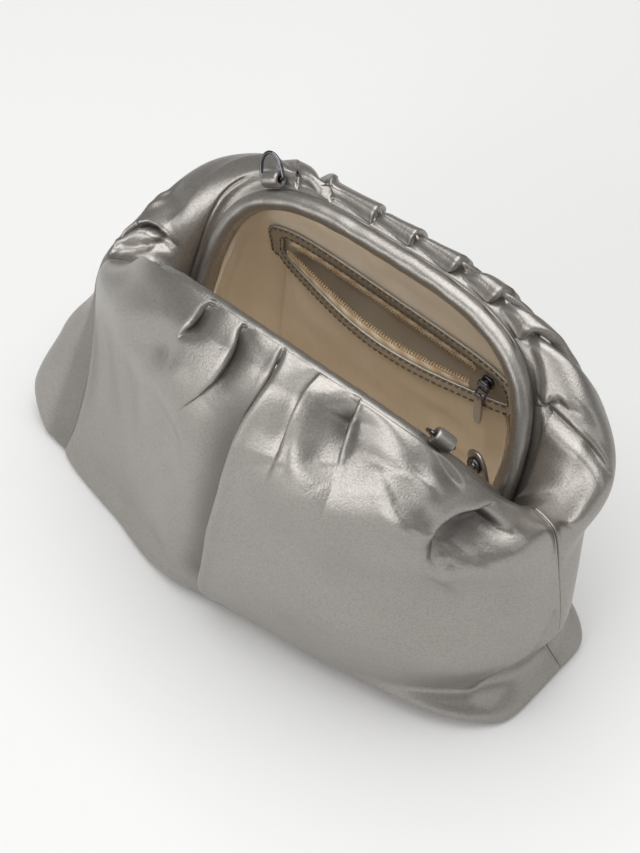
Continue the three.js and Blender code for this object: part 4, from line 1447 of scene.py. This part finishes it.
@dataclass
class Lining:
    """Loose satin cup inside the leather, from the frame tubes down to its floor.

    Pairs are lengths over which something comes up or dies away, from and to, in mm.
    """

    columns: int = 120
    rows: int = 90
    floor_rows: int = 8
    tuck: float = TUBE_RADIUS - 0.2
    tuck_across: float = 0.8
    tuck_down: float = 0.6
    tuck_share: float = 0.08
    rim_meets: float = 11.0
    fold_seed: int = 41
    fold_count: float = 9.0
    fold_long: float = 150.0
    fold_drift: float = 1.5
    fold_height: float = 0.8
    end_height: float = 3.0
    end_share: float = 0.2
    pucker_seed: int = 43
    pucker_count: float = 30.0
    pucker_long: float = 70.0
    pucker_height: float = 0.5
    pucker_reach: float = 16.0
    deepest: float = -0.6
    folds_grow: tuple[float, float] = (0.0, 8.0)
    folds_end: tuple[float, float] = (140.0, 156.0)
    folds_from_seam: float = 0.05
    pocket_from: float = 0.27
    pocket_to: float = 0.73
    pocket_edge: float = 0.03
    pocket_off: float = 2.2
    pocket_above: float = 4.0
    pocket_high: float = 9.0
    row_step: float = 1.8
    flat_size: tuple[float, float] = (0.42, 0.36)
    flat_area: float = 0.092

    def half(self, side: Side) -> Grid:
        """Inner face of the lining on one side: the smooth wall with soft hanging folds.

        Args:
            side: front or back wall.

        Returns:
            Points, (rows, columns, 3).
        """
        s, t = np.meshgrid(np.linspace(0.0, 1.0, self.columns), np.linspace(0.0, LINING_WALL.end, self.rows))
        base = LINING_WALL.point(side, s, t)
        out = LINING_WALL.tangents(side, s, t)[2]
        from_end = np.minimum(s, 1.0 - s)
        place, outward, across = arch(side, s[0])
        tucked = smooth(0.0, self.tuck_share, from_end[0])[:, None] * across
        sewn = place + self.tuck * unit(self.tuck_across * tucked - self.tuck_down * outward)
        base = base + (1.0 - smooth(0.0, self.rim_meets, t))[..., None] * (sewn - base[0])
        folds = soft_noise(s * self.fold_count, t / self.fold_long + s * self.fold_drift,
                           self.fold_seed + (side is Side.BACK))
        pucker = soft_noise(s * self.pucker_count, t / self.pucker_long, self.pucker_seed)
        ends = bell(s / self.end_share) + bell((1.0 - s) / self.end_share)
        swell = (self.fold_height + self.end_height * ends) * folds
        swell = swell + self.pucker_height * pucker * bell(t / self.pucker_reach)
        fade = smooth(*self.folds_grow, t) * (1.0 - smooth(*self.folds_end, t))
        fade = fade * smooth(0.0, self.folds_from_seam, from_end)
        inward = CLOTH + np.maximum(swell, self.deepest) * fade
        if side is Side.BACK:
            inward = mix(inward, CLOTH + self.pocket_off, self.behind_pocket(s, t))
        return base - out * inward[..., None]

    def behind_pocket(self, s: Grid, t: Grid) -> Grid:
        """Where the wall lies flat behind the pocket's zip.

        Args:
            s: share along the wall.
            t: length down it.

        Returns:
            1 behind the zip, 0 away from it.
        """
        f = np.clip((s - ZIP_POCKET.start) / (ZIP_POCKET.stop - ZIP_POCKET.start), 0.0, 1.0)
        level = mix(ZIP_POCKET.t_start, ZIP_POCKET.t_stop, f)
        behind = smooth(0.0, self.pocket_edge, s - self.pocket_from)
        behind = behind * smooth(0.0, self.pocket_edge, self.pocket_to - s)
        return behind * bell((t - level + self.pocket_above) / self.pocket_high)

    def build(self) -> None:
        """Makes the cup: an inner face, an outer face one cloth in thickness out, rim and floor."""
        front, back = self.half(Side.FRONT), self.half(Side.BACK)
        loop = np.concatenate([front, back[:, -2:0:-1]], axis=1)
        rim = np.arange(loop.shape[1])
        floor = loop[-1]
        middle = 0.5 * (floor + floor[-rim % len(rim)])
        q = np.linspace(0.0, 1.0, self.floor_rows + 1)[1:, None, None]
        inner = np.concatenate([loop, mix(floor, middle, q)])
        wrapped = np.concatenate([inner[:, -1:], inner, inner[:, :1]], axis=1)
        across = wrapped[:, 2:] - wrapped[:, :-2]
        normal = -unit(np.cross(across, np.gradient(inner, axis=0)))
        normal[self.rows:] = (0.0, 0.0, -1.0)
        outer = inner + CLOTH * normal
        run = rim[None, :] * (PANEL_SPREAD / self.columns)
        rows = np.arange(len(inner))[:, None] * self.row_step
        places = np.stack(np.broadcast_arrays(run, rows), axis=-1)
        shell = Shell().add(inner, round_columns=True, flat_map=places)
        shell.add(outer, round_columns=True, flip=True, flat_map=places)
        shell.bridge(rim, rim + inner.shape[0] * inner.shape[1])
        obj = shell.piece("satin_lining", SATIN)
        place_piece(obj, Rides.BAG, Slot.LINING, "lining_front", "lining_back")


@dataclass
class ZipPocket:
    """Zipped pocket on the back wall: stitched leather band, tapes, coils and cloth front."""

    start: float = 0.297
    stop: float = 0.7
    t_start: float = 31.0
    t_stop: float = 40.0
    bow: float = 13.0
    bow_power: float = 0.7
    clear: float = 4.4
    fall: float = 11.0
    sag: float = 2.0
    band_width: float = 8.0
    band_thick: float = 1.6
    band_points: int = 150
    band_sides: int = 32
    end_points: int = 40
    end_square: float = 6.0
    groove: float = 0.22
    groove_wide: float = 0.06
    stitch_rows: tuple[float, float] = (0.17, 0.83)
    stitch: float = 2.4
    stitch_gap: float = 0.9
    stitch_radius: float = 0.34
    stitch_up: float = 0.16
    stitch_dip: float = 6.4
    stitch_points: int = 7
    stitch_sides: int = 6
    tape_from: float = 0.03
    tape_to: float = 0.88
    tape_width: float = 5.0
    tape_thick: float = 0.9
    tape_under: float = 1.5
    tape_lean: float = 0.9
    tape_dip: float = 0.35
    tape_dips: tuple[float, float] = (0.6, -0.6)
    tape_step: float = 1.15
    tape_steps: tuple[float, float] = (-0.4, 1.2)
    tape_points: int = 120
    tape_sides: int = 20
    flat_square: float = 5.0
    coil_radius: float = 0.85
    coil_wire: float = 0.38
    coil_pitch: float = 1.5
    coil_steps: int = 12
    coil_sides: int = 6
    drop: float = 78.0
    cloth_columns: int = 110
    cloth_rows: int = 60
    cloth_inset: float = 0.015
    cloth_ends: float = 0.07
    cloth_tie: float = 0.2
    cloth_overlap: float = 3.0
    cloth_behind: float = 0.3
    foot_off: float = 3.2
    hug_off: float = 3.4
    hug_below: float = 5.0
    slack_seed: int = 51
    slack_count: float = 5.0
    slack_rows: float = 1.6
    slack: float = 1.1
    belly: float = 0.6
    weave: tuple[float, float] = (140.0, 75.0)
    flat_size: tuple[float, float] = (0.145, 0.078)
    flat_area: float = 0.0111

    def edge(self, f: Grid, front: bool) -> tuple[Grid, Grid, Grid]:
        """Edge of the zip: the back run lies along the lining's wall, the front run bows off and lower.

        Args:
            f: share from the left end to the right one.
            front: whether this is the front run.

        Returns:
            Places, directions off the wall, and directions down it.
        """
        f = np.asarray(f, float)
        s, t = mix(self.start, self.stop, f), mix(self.t_start, self.t_stop, f)
        swell = np.maximum(np.sin(PI * np.clip(f, 0.0, 1.0)), 0.0)
        wall = LINING_WALL.point(Side.BACK, s, t)
        inward = -LINING_WALL.tangents(Side.BACK, s, t)[2]
        down = unit(LINING_WALL.point(Side.BACK, s, t + 2.0) - wall)
        off = self.clear + front * self.bow * swell ** self.bow_power
        lower = front * (self.fall + self.sag * swell)
        return wall + inward * off[..., None] + down * lower[..., None], inward, down

    def band_end(self, first: Grid, last: Grid, upward: Grid, ahead: Grid, face: Grid) -> tuple[Grid, ...]:
        """Square end of the band, from one run of the zip to the other.

        Args:
            first: place where it starts.
            last: place where it ends.
            upward: direction across the band at its start.
            ahead: direction out of the end.
            face: direction off the wall.

        Returns:
            Places, directions across, directions of the face, and widths.
        """
        turn = np.linspace(0.0, PI, self.end_points + 2)[1:-1, None]
        across = unit(np.cos(turn) * upward + np.sin(turn) * ahead)
        width = self.band_width * superradius(np.cos(turn[:, 0]), np.sin(turn[:, 0]), self.end_square)
        return mix(first, last, turn / PI), across, np.broadcast_to(face, across.shape), width

    def band_frame(self) -> tuple[Grid, ...]:
        """Loop of the band round the zip: inner edge, direction across the band, face and width.

        The two runs have the band above and below. Round each end the direction across turns by half
        a circle, and the width follows a squared circle, so that the end has square corners.

        Returns:
            Places, directions across, directions of the face, and widths.
        """
        f = np.linspace(0.0, 1.0, self.band_points)
        back, back_face, back_down = self.edge(f, False)
        front, front_face, front_down = self.edge(f, True)
        width = np.full(self.band_points, self.band_width)
        right, left = unit(back[-1] - back[-2]), unit(back[0] - back[1])
        parts = (
            (back, -back_down, back_face, width),
            self.band_end(back[-1], front[-1], -back_down[-1], right, back_face[-1]),
            (front[::-1], front_down[::-1], front_face[::-1], width),
            self.band_end(front[0], back[0], back_down[0], left, back_face[0]),
        )
        return tuple(np.concatenate(column) for column in zip(*parts))

    def band(self) -> None:
        """Leather band: a flat section with rounded edges and a low crown, carried round the loop."""
        place, across, face, width = self.band_frame()
        x, y = squared_circle(self.band_sides, self.flat_square)
        x, y = 0.5 + 0.5 * x, 0.5 * self.band_thick * y
        groove = self.groove * sum(bell((x - row) / self.groove_wide) for row in self.stitch_rows)
        y = np.where(y > 0.0, y - groove, y)
        spread = (x[None, :] * width[:, None])[..., None] * across[:, None]
        grid = place[:, None] + spread + y[None, :, None] * face[:, None]
        shell = Shell().add(grid, round_columns=True, round_rows=True, flip=True)
        place_piece(shell.piece("pocket_band", TRIM_FINISH), Rides.BAG, Slot.LEATHER, "pocket_trim")

    def stitches(self) -> None:
        """Two rows of stitches on the band: short round-ended rods, dipping in at their ends."""
        place, across, face, width = self.band_frame()
        face = np.vstack([face, face[:1]])
        u = np.linspace(-0.5, 0.5, self.stitch_points)
        shell = Shell()
        for row in self.stitch_rows:
            line = place + across * (row * width)[:, None] + face[:-1] * (0.5 * self.band_thick)
            line = np.vstack([line, line[:1]])
            run = lengths_along(line)
            count = int(run[-1] / (self.stitch + self.stitch_gap))
            at = (np.arange(count)[:, None] + 0.5) * (run[-1] / count) + u * self.stitch
            lift = sampled(at, run, face)
            path = sampled(at, run, line) + lift * (self.stitch_up - self.stitch_dip * u[:, None] ** 4)
            self.rods(shell, path, lift)
        place_piece(shell.piece("pocket_stitches", THREAD), Rides.BAG, Slot.LEATHER)

    def rods(self, shell: Shell, path: Grid, lift: Grid) -> None:
        """Adds a short tapered rod along each path.

        Args:
            shell: shell to add to.
            path: paths, (rods, points, 3).
            lift: direction off the leather at each point.
        """
        along = unit(np.gradient(path, axis=1))
        side = unit(np.cross(along, lift))
        up = np.cross(side, along)
        angle = full_turn(self.stitch_sides)[:, None]
        taper = np.sqrt(np.maximum(1.0 - np.linspace(-1.0, 1.0, path.shape[1]) ** 6, 0.0))
        size = self.stitch_radius * taper[None, :, None, None]
        ring = (side[:, :, None] * np.cos(angle) + up[:, :, None] * np.sin(angle)) * size
        for rod in path[:, :, None] + ring:
            shell.add(rod, round_columns=True)

    def tape(self, front: bool) -> None:
        """Tape along one side of the zip, with a coil of nylon on its inner edge.

        Args:
            front: whether this is the front tape.
        """
        name = "front" if front else "back"
        f = np.linspace(self.tape_from, self.tape_to, self.tape_points)
        place, face, down = self.edge(f, front)
        lean = front * self.tape_lean * np.sin(PI * f)[:, None]
        towards = unit(-down - lean * face) if front else down
        face = unit(face - lean * down)
        x, y = squared_circle(self.tape_sides, self.flat_square)
        inner_edge = self.tape_width - self.coil_radius
        x = mix(-self.tape_under, inner_edge, 0.5 + 0.5 * x)
        y = 0.5 * self.tape_thick * y - self.tape_dip * smooth(*self.tape_dips, x)
        y = y - self.tape_step * (1.0 - smooth(*self.tape_steps, x))
        grid = place[:, None] + x[None, :, None] * towards[:, None] + y[None, :, None] * face[:, None]
        places = np.stack(np.broadcast_arrays(lengths_along(place)[:, None], x[None, :]), axis=-1)
        shell = Shell().add(capped(grid), round_columns=True, flip=not front,
                            flat_map=np.pad(places, ((2, 2), (0, 0), (0, 0)), mode="edge"))
        place_piece(shell.piece(f"zip_tape_cloth_{name}", TAPE), Rides.BAG, Slot.TAPE, f"zip_tape_{name}")
        self.coil(name, place + towards * inner_edge, towards, face)

    def coil(self, name: str, line: Grid, side: Grid, face: Grid) -> None:
        """Nylon coil: a helix of thin wire, slightly flattened, along the tape's edge.

        Args:
            name: front or back.
            line: middle line of the coil.
            side: direction across the zip.
            face: direction off the tape.
        """
        run = lengths_along(line)
        turns = run[-1] / self.coil_pitch
        u = np.linspace(0.0, 1.0, int(turns * self.coil_steps))
        middle, right, up = (sampled(u * run[-1], run, values) for values in (line, side, face))
        angle = (TURN * turns * u)[:, None]
        spoke = right * np.cos(angle) + up * np.sin(angle)
        grid = tube(middle + self.coil_radius * spoke, spoke, self.coil_wire, self.coil_sides)
        shell = Shell().add(capped(grid), round_columns=True)
        place_piece(shell.piece(f"zip_coil_{name}", COIL), Rides.BAG, Slot.TAPE)

    def front_cloth(self) -> None:
        """Cloth front of the pocket: hangs from behind the band to the wall, with slack folds."""
        f, q = np.meshgrid(np.linspace(self.cloth_inset, 1.0 - self.cloth_inset, self.cloth_columns),
                           np.linspace(0.0, 1.0, self.cloth_rows))
        top, inward, down = self.edge(f, True)
        top = top + down * (self.band_width - self.cloth_overlap)
        top = top - inward * (0.5 * self.band_thick + self.cloth_behind)
        s, t_zip = mix(self.start, self.stop, f), mix(self.t_start, self.t_stop, f)
        t_foot = t_zip + self.drop
        t_hug = mix(t_zip + self.fall + self.hug_below, t_foot, q)
        foot, hug = (LINING_WALL.point(Side.BACK, s, t) - off * LINING_WALL.tangents(Side.BACK, s, t)[2]
                     for t, off in ((t_foot, self.foot_off), (t_hug, self.hug_off)))
        near = smooth(0.0, self.cloth_ends, f) * smooth(0.0, self.cloth_ends, 1.0 - f)
        tie = (1.0 - near) * smooth(0.0, self.cloth_tie, q)
        hang = mix(mix(top, foot, q[..., None]), hug, tie[..., None])
        slack = self.slack * soft_noise(f * self.slack_count, q * self.slack_rows + f, self.slack_seed)
        outer = hang + inward * ((self.belly + slack) * np.sin(PI * q) * near)[..., None]
        inner = outer - inward * CLOTH
        places = np.stack([f * self.weave[0], q * self.weave[1]], axis=-1)
        shell = Shell().add(outer, flip=True, flat_map=places).add(inner, flat_map=places)
        edge = border(self.cloth_rows, self.cloth_columns)
        shell.bridge(edge, edge + f.size)
        obj = shell.piece("pocket_cloth", SATIN)
        place_piece(obj, Rides.BAG, Slot.LINING, "pocket_panel")

    def build(self) -> None:
        """Makes every piece of the pocket."""
        self.band()
        self.stitches()
        self.tape(True)
        self.tape(False)
        self.front_cloth()


ZIP_POCKET = ZipPocket()


@dataclass
class ZipSlider:
    """Slider of the pocket's zip, with the flat pull that hangs in its stirrup."""

    at: float = 0.93
    width: float = 7.0
    length: float = 7.5
    ahead: float = 0.02
    plate_square: float = 3.2
    plate_at: float = 1.55
    plate_half: float = 0.75
    plate_rim: float = 0.5
    plate_crown: float = 0.1
    core_share: tuple[float, float] = (0.3, 0.44)
    core_square: float = 2.6
    core_half: float = 1.2
    core_rim: float = 0.3
    rib_rows: tuple[float, ...] = (-2.2, -0.9, 0.4)
    rib_share: float = 0.42
    rib_wide: float = 0.38
    rib_square: float = 4.0
    rib_points: int = 24
    rib_at: float = 2.3
    rib_half: float = 0.3
    rib_rim: float = 0.25
    stirrup_half: float = 2.5
    stirrup_wire: float = 0.5
    stirrup_points: int = 48
    stirrup_sides: int = 12
    foot_ahead: float = 1.8
    foot_below: float = 2.2
    pull_width: float = 4.4
    pull_length: float = 20.0
    pull_thick: float = 1.4
    pull_ahead: float = 4.2
    pull_below: float = 3.0
    pull_square: float = 3.4
    pull_waist: float = 0.22
    waist_span: tuple[float, float] = (0.3, -0.9)
    edge_square: float = 6.0
    edge_points: int = 24
    pull_points: int = 72
    pin_below: float = 1.2
    hole_half: tuple[float, float] = (0.85, 0.75)
    hole_from_end: float = 1.45

    def axes(self) -> tuple[Grid, Grid, Grid, Grid]:
        """Where the slider sits on the zip.

        Returns:
            Its middle, and its directions along the zip, across it and out of it.
        """
        back, face_back, _ = ZIP_POCKET.edge(np.array(self.at), False)
        front, face_front, _ = ZIP_POCKET.edge(np.array(self.at), True)
        along = unit(ZIP_POCKET.edge(np.array(self.at + self.ahead), False)[0] - back)
        face = unit(face_back + face_front)
        return 0.5 * (back + front), along, unit(np.cross(along, face)), face

    def plates(self) -> None:
        """Slider: two rounded plates on a core, ribbed on top, with the stirrup that holds the pull."""
        centre, along, across, face = self.axes()
        axes = (along, across, face)
        plate = ring_outline(0.5 * self.width, 0.5 * self.length, self.plate_square)
        core = ring_outline(self.core_share[0] * self.width, self.core_share[1] * self.length,
                            self.core_square)
        rib = ring_outline(self.rib_share * self.width, self.rib_wide, self.rib_square, self.rib_points)
        slabs = [slab(plate, axes, centre + height * face, self.plate_half, self.plate_rim, self.plate_crown)
                 for height in (-self.plate_at, self.plate_at)]
        slabs.append(slab(core, axes, centre, self.core_half, self.core_rim))
        slabs.extend(slab(rib, axes, centre + row * across + self.rib_at * face, self.rib_half, self.rib_rim)
                     for row in self.rib_rows)
        level = unit(along * (1.0, 1.0, 0.0))
        pivot = centre + self.pull_ahead * face + (self.pull_below + self.pin_below) * DOWN
        foot = centre + self.foot_ahead * face + self.foot_below * DOWN
        aside = self.stirrup_half * level
        bends = np.stack([foot - aside, pivot - aside, pivot + aside, foot + aside])
        stirrup = tube(spaced(bends, self.stirrup_points), unit(np.cross(level, pivot - foot)),
                       self.stirrup_wire, self.stirrup_sides)
        shell = Shell()
        for grid in (*slabs, capped(stirrup)):
            shell.add(grid, round_columns=True)
        place_piece(shell.piece("zip_slider_plates", METAL), Rides.BAG, Slot.METAL, "zip_slider")

    def pull(self) -> None:
        """Pull: a flat tongue with round ends and a hole, as rings from the hole out and back."""
        centre, along, _, face = self.axes()
        half = 0.5 * self.pull_length
        level = unit(along * (1.0, 1.0, 0.0))
        middle = centre + self.pull_ahead * face + (self.pull_below + half) * DOWN
        out = unit(np.cross(level, DOWN))
        outline = ring_outline(0.5 * self.pull_width, half, self.pull_square, self.pull_points)
        outline[:, 0] *= 1.0 - self.pull_waist * smooth(*self.waist_span, outline[:, 1] / half)
        hole = ring_outline(*self.hole_half, 2.0, self.pull_points) - (0.0, half - self.hole_from_end)
        x, y = (values[:, None, None] for values in squared_circle(self.edge_points, self.edge_square))
        flat = mix(hole[None], outline[None], 0.5 + 0.5 * x)
        grid = middle + flat[..., :1] * level + flat[..., 1:] * DOWN + 0.5 * self.pull_thick * y * out
        obj = Shell().add(grid, round_columns=True, round_rows=True).piece("zip_pull_tongue", PULL_METAL)
        place_piece(obj, Rides.PULL, Slot.METAL, "zip_pull")

    def build(self) -> None:
        """Makes the slider and its pull."""
        self.plates()
        self.pull()


# Outline of the snap's stud from the middle of its foot to the middle of its top: radius and height
STUD_PROFILE = np.array([
    (0.0, 0.0), (0.9, 0.0), (1.0, 0.15), (1.0, 0.55), (0.92, 0.8), (0.8, 0.84),
    (0.7, 0.62), (0.5, 0.6), (0.42, 0.95), (0.25, 1.0), (0.0, 1.0),
])


@dataclass
class SnapTab:
    """Small leather tab at the right end of the mouth, with the stud of its snap."""

    centre: tuple[float, float, float] = (77.0, 4.0, 112.0)
    down: tuple[float, float, float] = (0.4, -0.15, -0.9)
    facing: tuple[float, float, float] = (-0.45, -0.6, 0.66)
    half_width: float = 6.0
    half_length: float = 11.0
    half_thick: float = 1.0
    rim: float = 0.7
    squareness: float = 3.0
    stud_radius: float = 4.2
    stud_up: float = 4.0
    stud_from: float = 1.3
    stud_to: float = 3.2
    stud_rings: int = 61
    stud_sides: int = 40
    tab_points: int = 64

    def build(self) -> None:
        """Makes the tab as a rounded slab, and the stud as a turned profile with a rolled rim."""
        down = unit(np.array(self.down))
        side = unit(np.cross(np.array(self.facing), down))
        out = unit(np.cross(down, side))
        centre = np.array(self.centre)
        outline = ring_outline(self.half_width, self.half_length, self.squareness, self.tab_points)
        plate = slab(outline, (side, down, out), centre, self.half_thick, self.rim)
        tab = Shell().add(plate, round_columns=True).piece("snap_tab_leather", LEATHER_FINISH)
        place_piece(tab, Rides.BAG, Slot.LEATHER, "snap_tab")
        knots = np.arange(len(STUD_PROFILE))
        profile = sampled(np.linspace(0, knots[-1], self.stud_rings), knots, STUD_PROFILE)
        angle = full_turn(self.stud_sides)[:, None]
        spoke = np.cos(angle) * side + np.sin(angle) * down
        height = mix(self.stud_from, self.stud_to, profile[:, 1])
        grid = (centre - self.stud_up * down + self.stud_radius * profile[:, None, :1] * spoke
                + height[:, None, None] * out)
        stud = Shell().add(grid, round_columns=True).piece("snap_stud_cap", METAL)
        place_piece(stud, Rides.BAG, Slot.METAL, "snap_stud")


# Studio

def put(name: str, data: bpy.types.ID, axes: Sequence[Grid], place: Sequence[float]) -> bpy.types.Object:
    """Puts a light or camera into the scene.

    Args:
        name: name of the object.
        data: its light or camera.
        axes: its directions to the right, up and back.
        place: its place, in metres.

    Returns:
        The object.
    """
    obj = bpy.data.objects.new(name, data)
    whole = np.eye(4)
    whole[:3] = np.stack([*axes, place], axis=-1)
    obj.matrix_world = Matrix(whole.tolist())
    bpy.context.scene.collection.objects.link(obj)
    return obj


@dataclass(frozen=True)
class PaleFloor(Finish):
    """Matt pale board that the bag stands on."""

    name: str = "pale_board"
    tone: str = "#dfdfde"

    def shade(self, tree: bpy.types.NodeTree) -> bpy.types.Node:
        """Builds the floor's plain matt shader."""
        return add_node(tree, "ShaderNodeBsdfPrincipled",
                        {"Base Color": linear(self.tone), "Roughness": 0.9, "Specular IOR Level": 0.1})


@dataclass(frozen=True)
class Softbox:
    """Soft rectangular light turned to the bag: its middle, width and height, and brightness."""

    name: str
    place: tuple[float, float, float]
    size: tuple[float, float]
    radiance: float
    aim: tuple[float, float, float] = (0.0, 0.0, 0.09)

    def build(self) -> None:
        """Makes the light, with the power that gives its face that brightness."""
        light = bpy.data.lights.new(self.name, "AREA")
        light.shape = "RECTANGLE"
        light.size, light.size_y = self.size
        light.energy = self.radiance * PI * self.size[0] * self.size[1]
        back = unit(np.array(self.place) - self.aim)
        right = unit(np.cross((0.0, 1.0, 0.001), back))
        put(self.name, light, (right, np.cross(back, right), back), self.place)


# Large soft light overhead and weaker ones to the right and in front
SOFTBOXES = (
    Softbox("overhead", (0.0, 0.0, 2.1), (2.6, 2.4), 2.75),
    Softbox("right", (1.7, 0.2, 1.0), (1.0, 1.0), 0.7),
    Softbox("front", (-0.4, -2.2, 0.85), (2.4, 1.2), 2.9),
)


@dataclass
class Studio:
    """Floor, soft lights and the camera at the photograph's viewing angle.

    The camera looks at the middle of the hinge axis, which the photograph of 640 by 853 pixels
    shows at the target pixel.
    """

    azimuth: float = 41.2
    elevation: float = 50.0
    focal_pixels: float = 2000.0
    distance: float = 930.2
    target_pixel: tuple[float, float] = (343.0, 401.2)
    picture: tuple[float, float] = (640.0, 853.0)
    sensor: float = 36.0
    floor_half: float = 4.0
    floor_low: float = -0.0004
    sky: float = 0.26

    def floor(self) -> None:
        """Pale floor just under the base."""
        half, low = self.floor_half, self.floor_low
        mesh = bpy.data.meshes.new("floor")
        mesh.from_pydata([(-half, -half, low), (half, -half, low), (half, half, low), (-half, half, low)],
                         [], [(0, 1, 2, 3)])
        mesh.materials.append(PaleFloor().material)
        obj = bpy.data.objects.new("floor", mesh)
        bpy.context.scene.collection.objects.link(obj)

    def lights(self) -> None:
        """Grey surround and the soft lights."""
        world = bpy.data.worlds.new("surround")
        world.use_nodes = True
        surround = world.node_tree.nodes["Background"]
        surround.inputs["Color"].default_value = (1.0, 1.0, 1.0, 1.0)
        surround.inputs["Strength"].default_value = self.sky
        bpy.context.scene.world = world
        for softbox in SOFTBOXES:
            softbox.build()

    def camera(self) -> None:
        """Camera from azimuth, elevation and distance, with the shift that puts the target at its pixel."""
        az, el = math.radians(self.azimuth), math.radians(self.elevation)
        back = np.array([math.sin(az) * math.cos(el), -math.cos(az) * math.cos(el), math.sin(el)])
        right = np.array([math.cos(az), math.sin(az), 0.0])
        eye = (np.array([0.0, 0.0, HINGE_HEIGHT]) + self.distance * back) * METRES
        long_side = max(self.picture)
        lens = bpy.data.cameras.new("camera")
        lens.sensor_width = self.sensor
        lens.lens = self.focal_pixels / long_side * self.sensor
        lens.shift_x = (0.5 * self.picture[0] - self.target_pixel[0]) / long_side
        lens.shift_y = (self.target_pixel[1] - 0.5 * self.picture[1]) / long_side
        lens.clip_start = 0.01
        bpy.context.scene.camera = put("camera", lens, (right, np.cross(back, right), back), eye)

    def build(self) -> None:
        """Sets up the studio."""
        bpy.context.scene.view_settings.view_transform = "Standard"
        self.floor()
        self.lights()
        self.camera()


def dress_hinges() -> None:
    """Gives the two hidden hinge pins their plating."""
    for name in ("hinge_left", "hinge_right"):
        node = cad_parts[name]
        node.data.materials.clear()
        node.data.materials.append(METAL.material)
        LOG.info("%s: plated", name)


def main() -> None:
    """Builds the studio, then the bag piece by piece."""
    logging.basicConfig(level=logging.INFO, format="%(name)s %(message)s")
    Studio().build()
    LeatherBody().build()
    for side in Side:
        FrameHalf(side).build()
    StrapRing(Side.BACK, Rides.BACK_RING, along=0.287, rise=9.5, inward=0.0, hang=1.0).build()
    StrapRing(Side.FRONT, Rides.FRONT_RING, along=0.755, rise=7.0, inward=7.0, hang=-1.0).build()
    Lining().build()
    ZIP_POCKET.build()
    ZipSlider().build()
    SnapTab().build()
    dress_hinges()


if __name__ == "__main__":
    main()
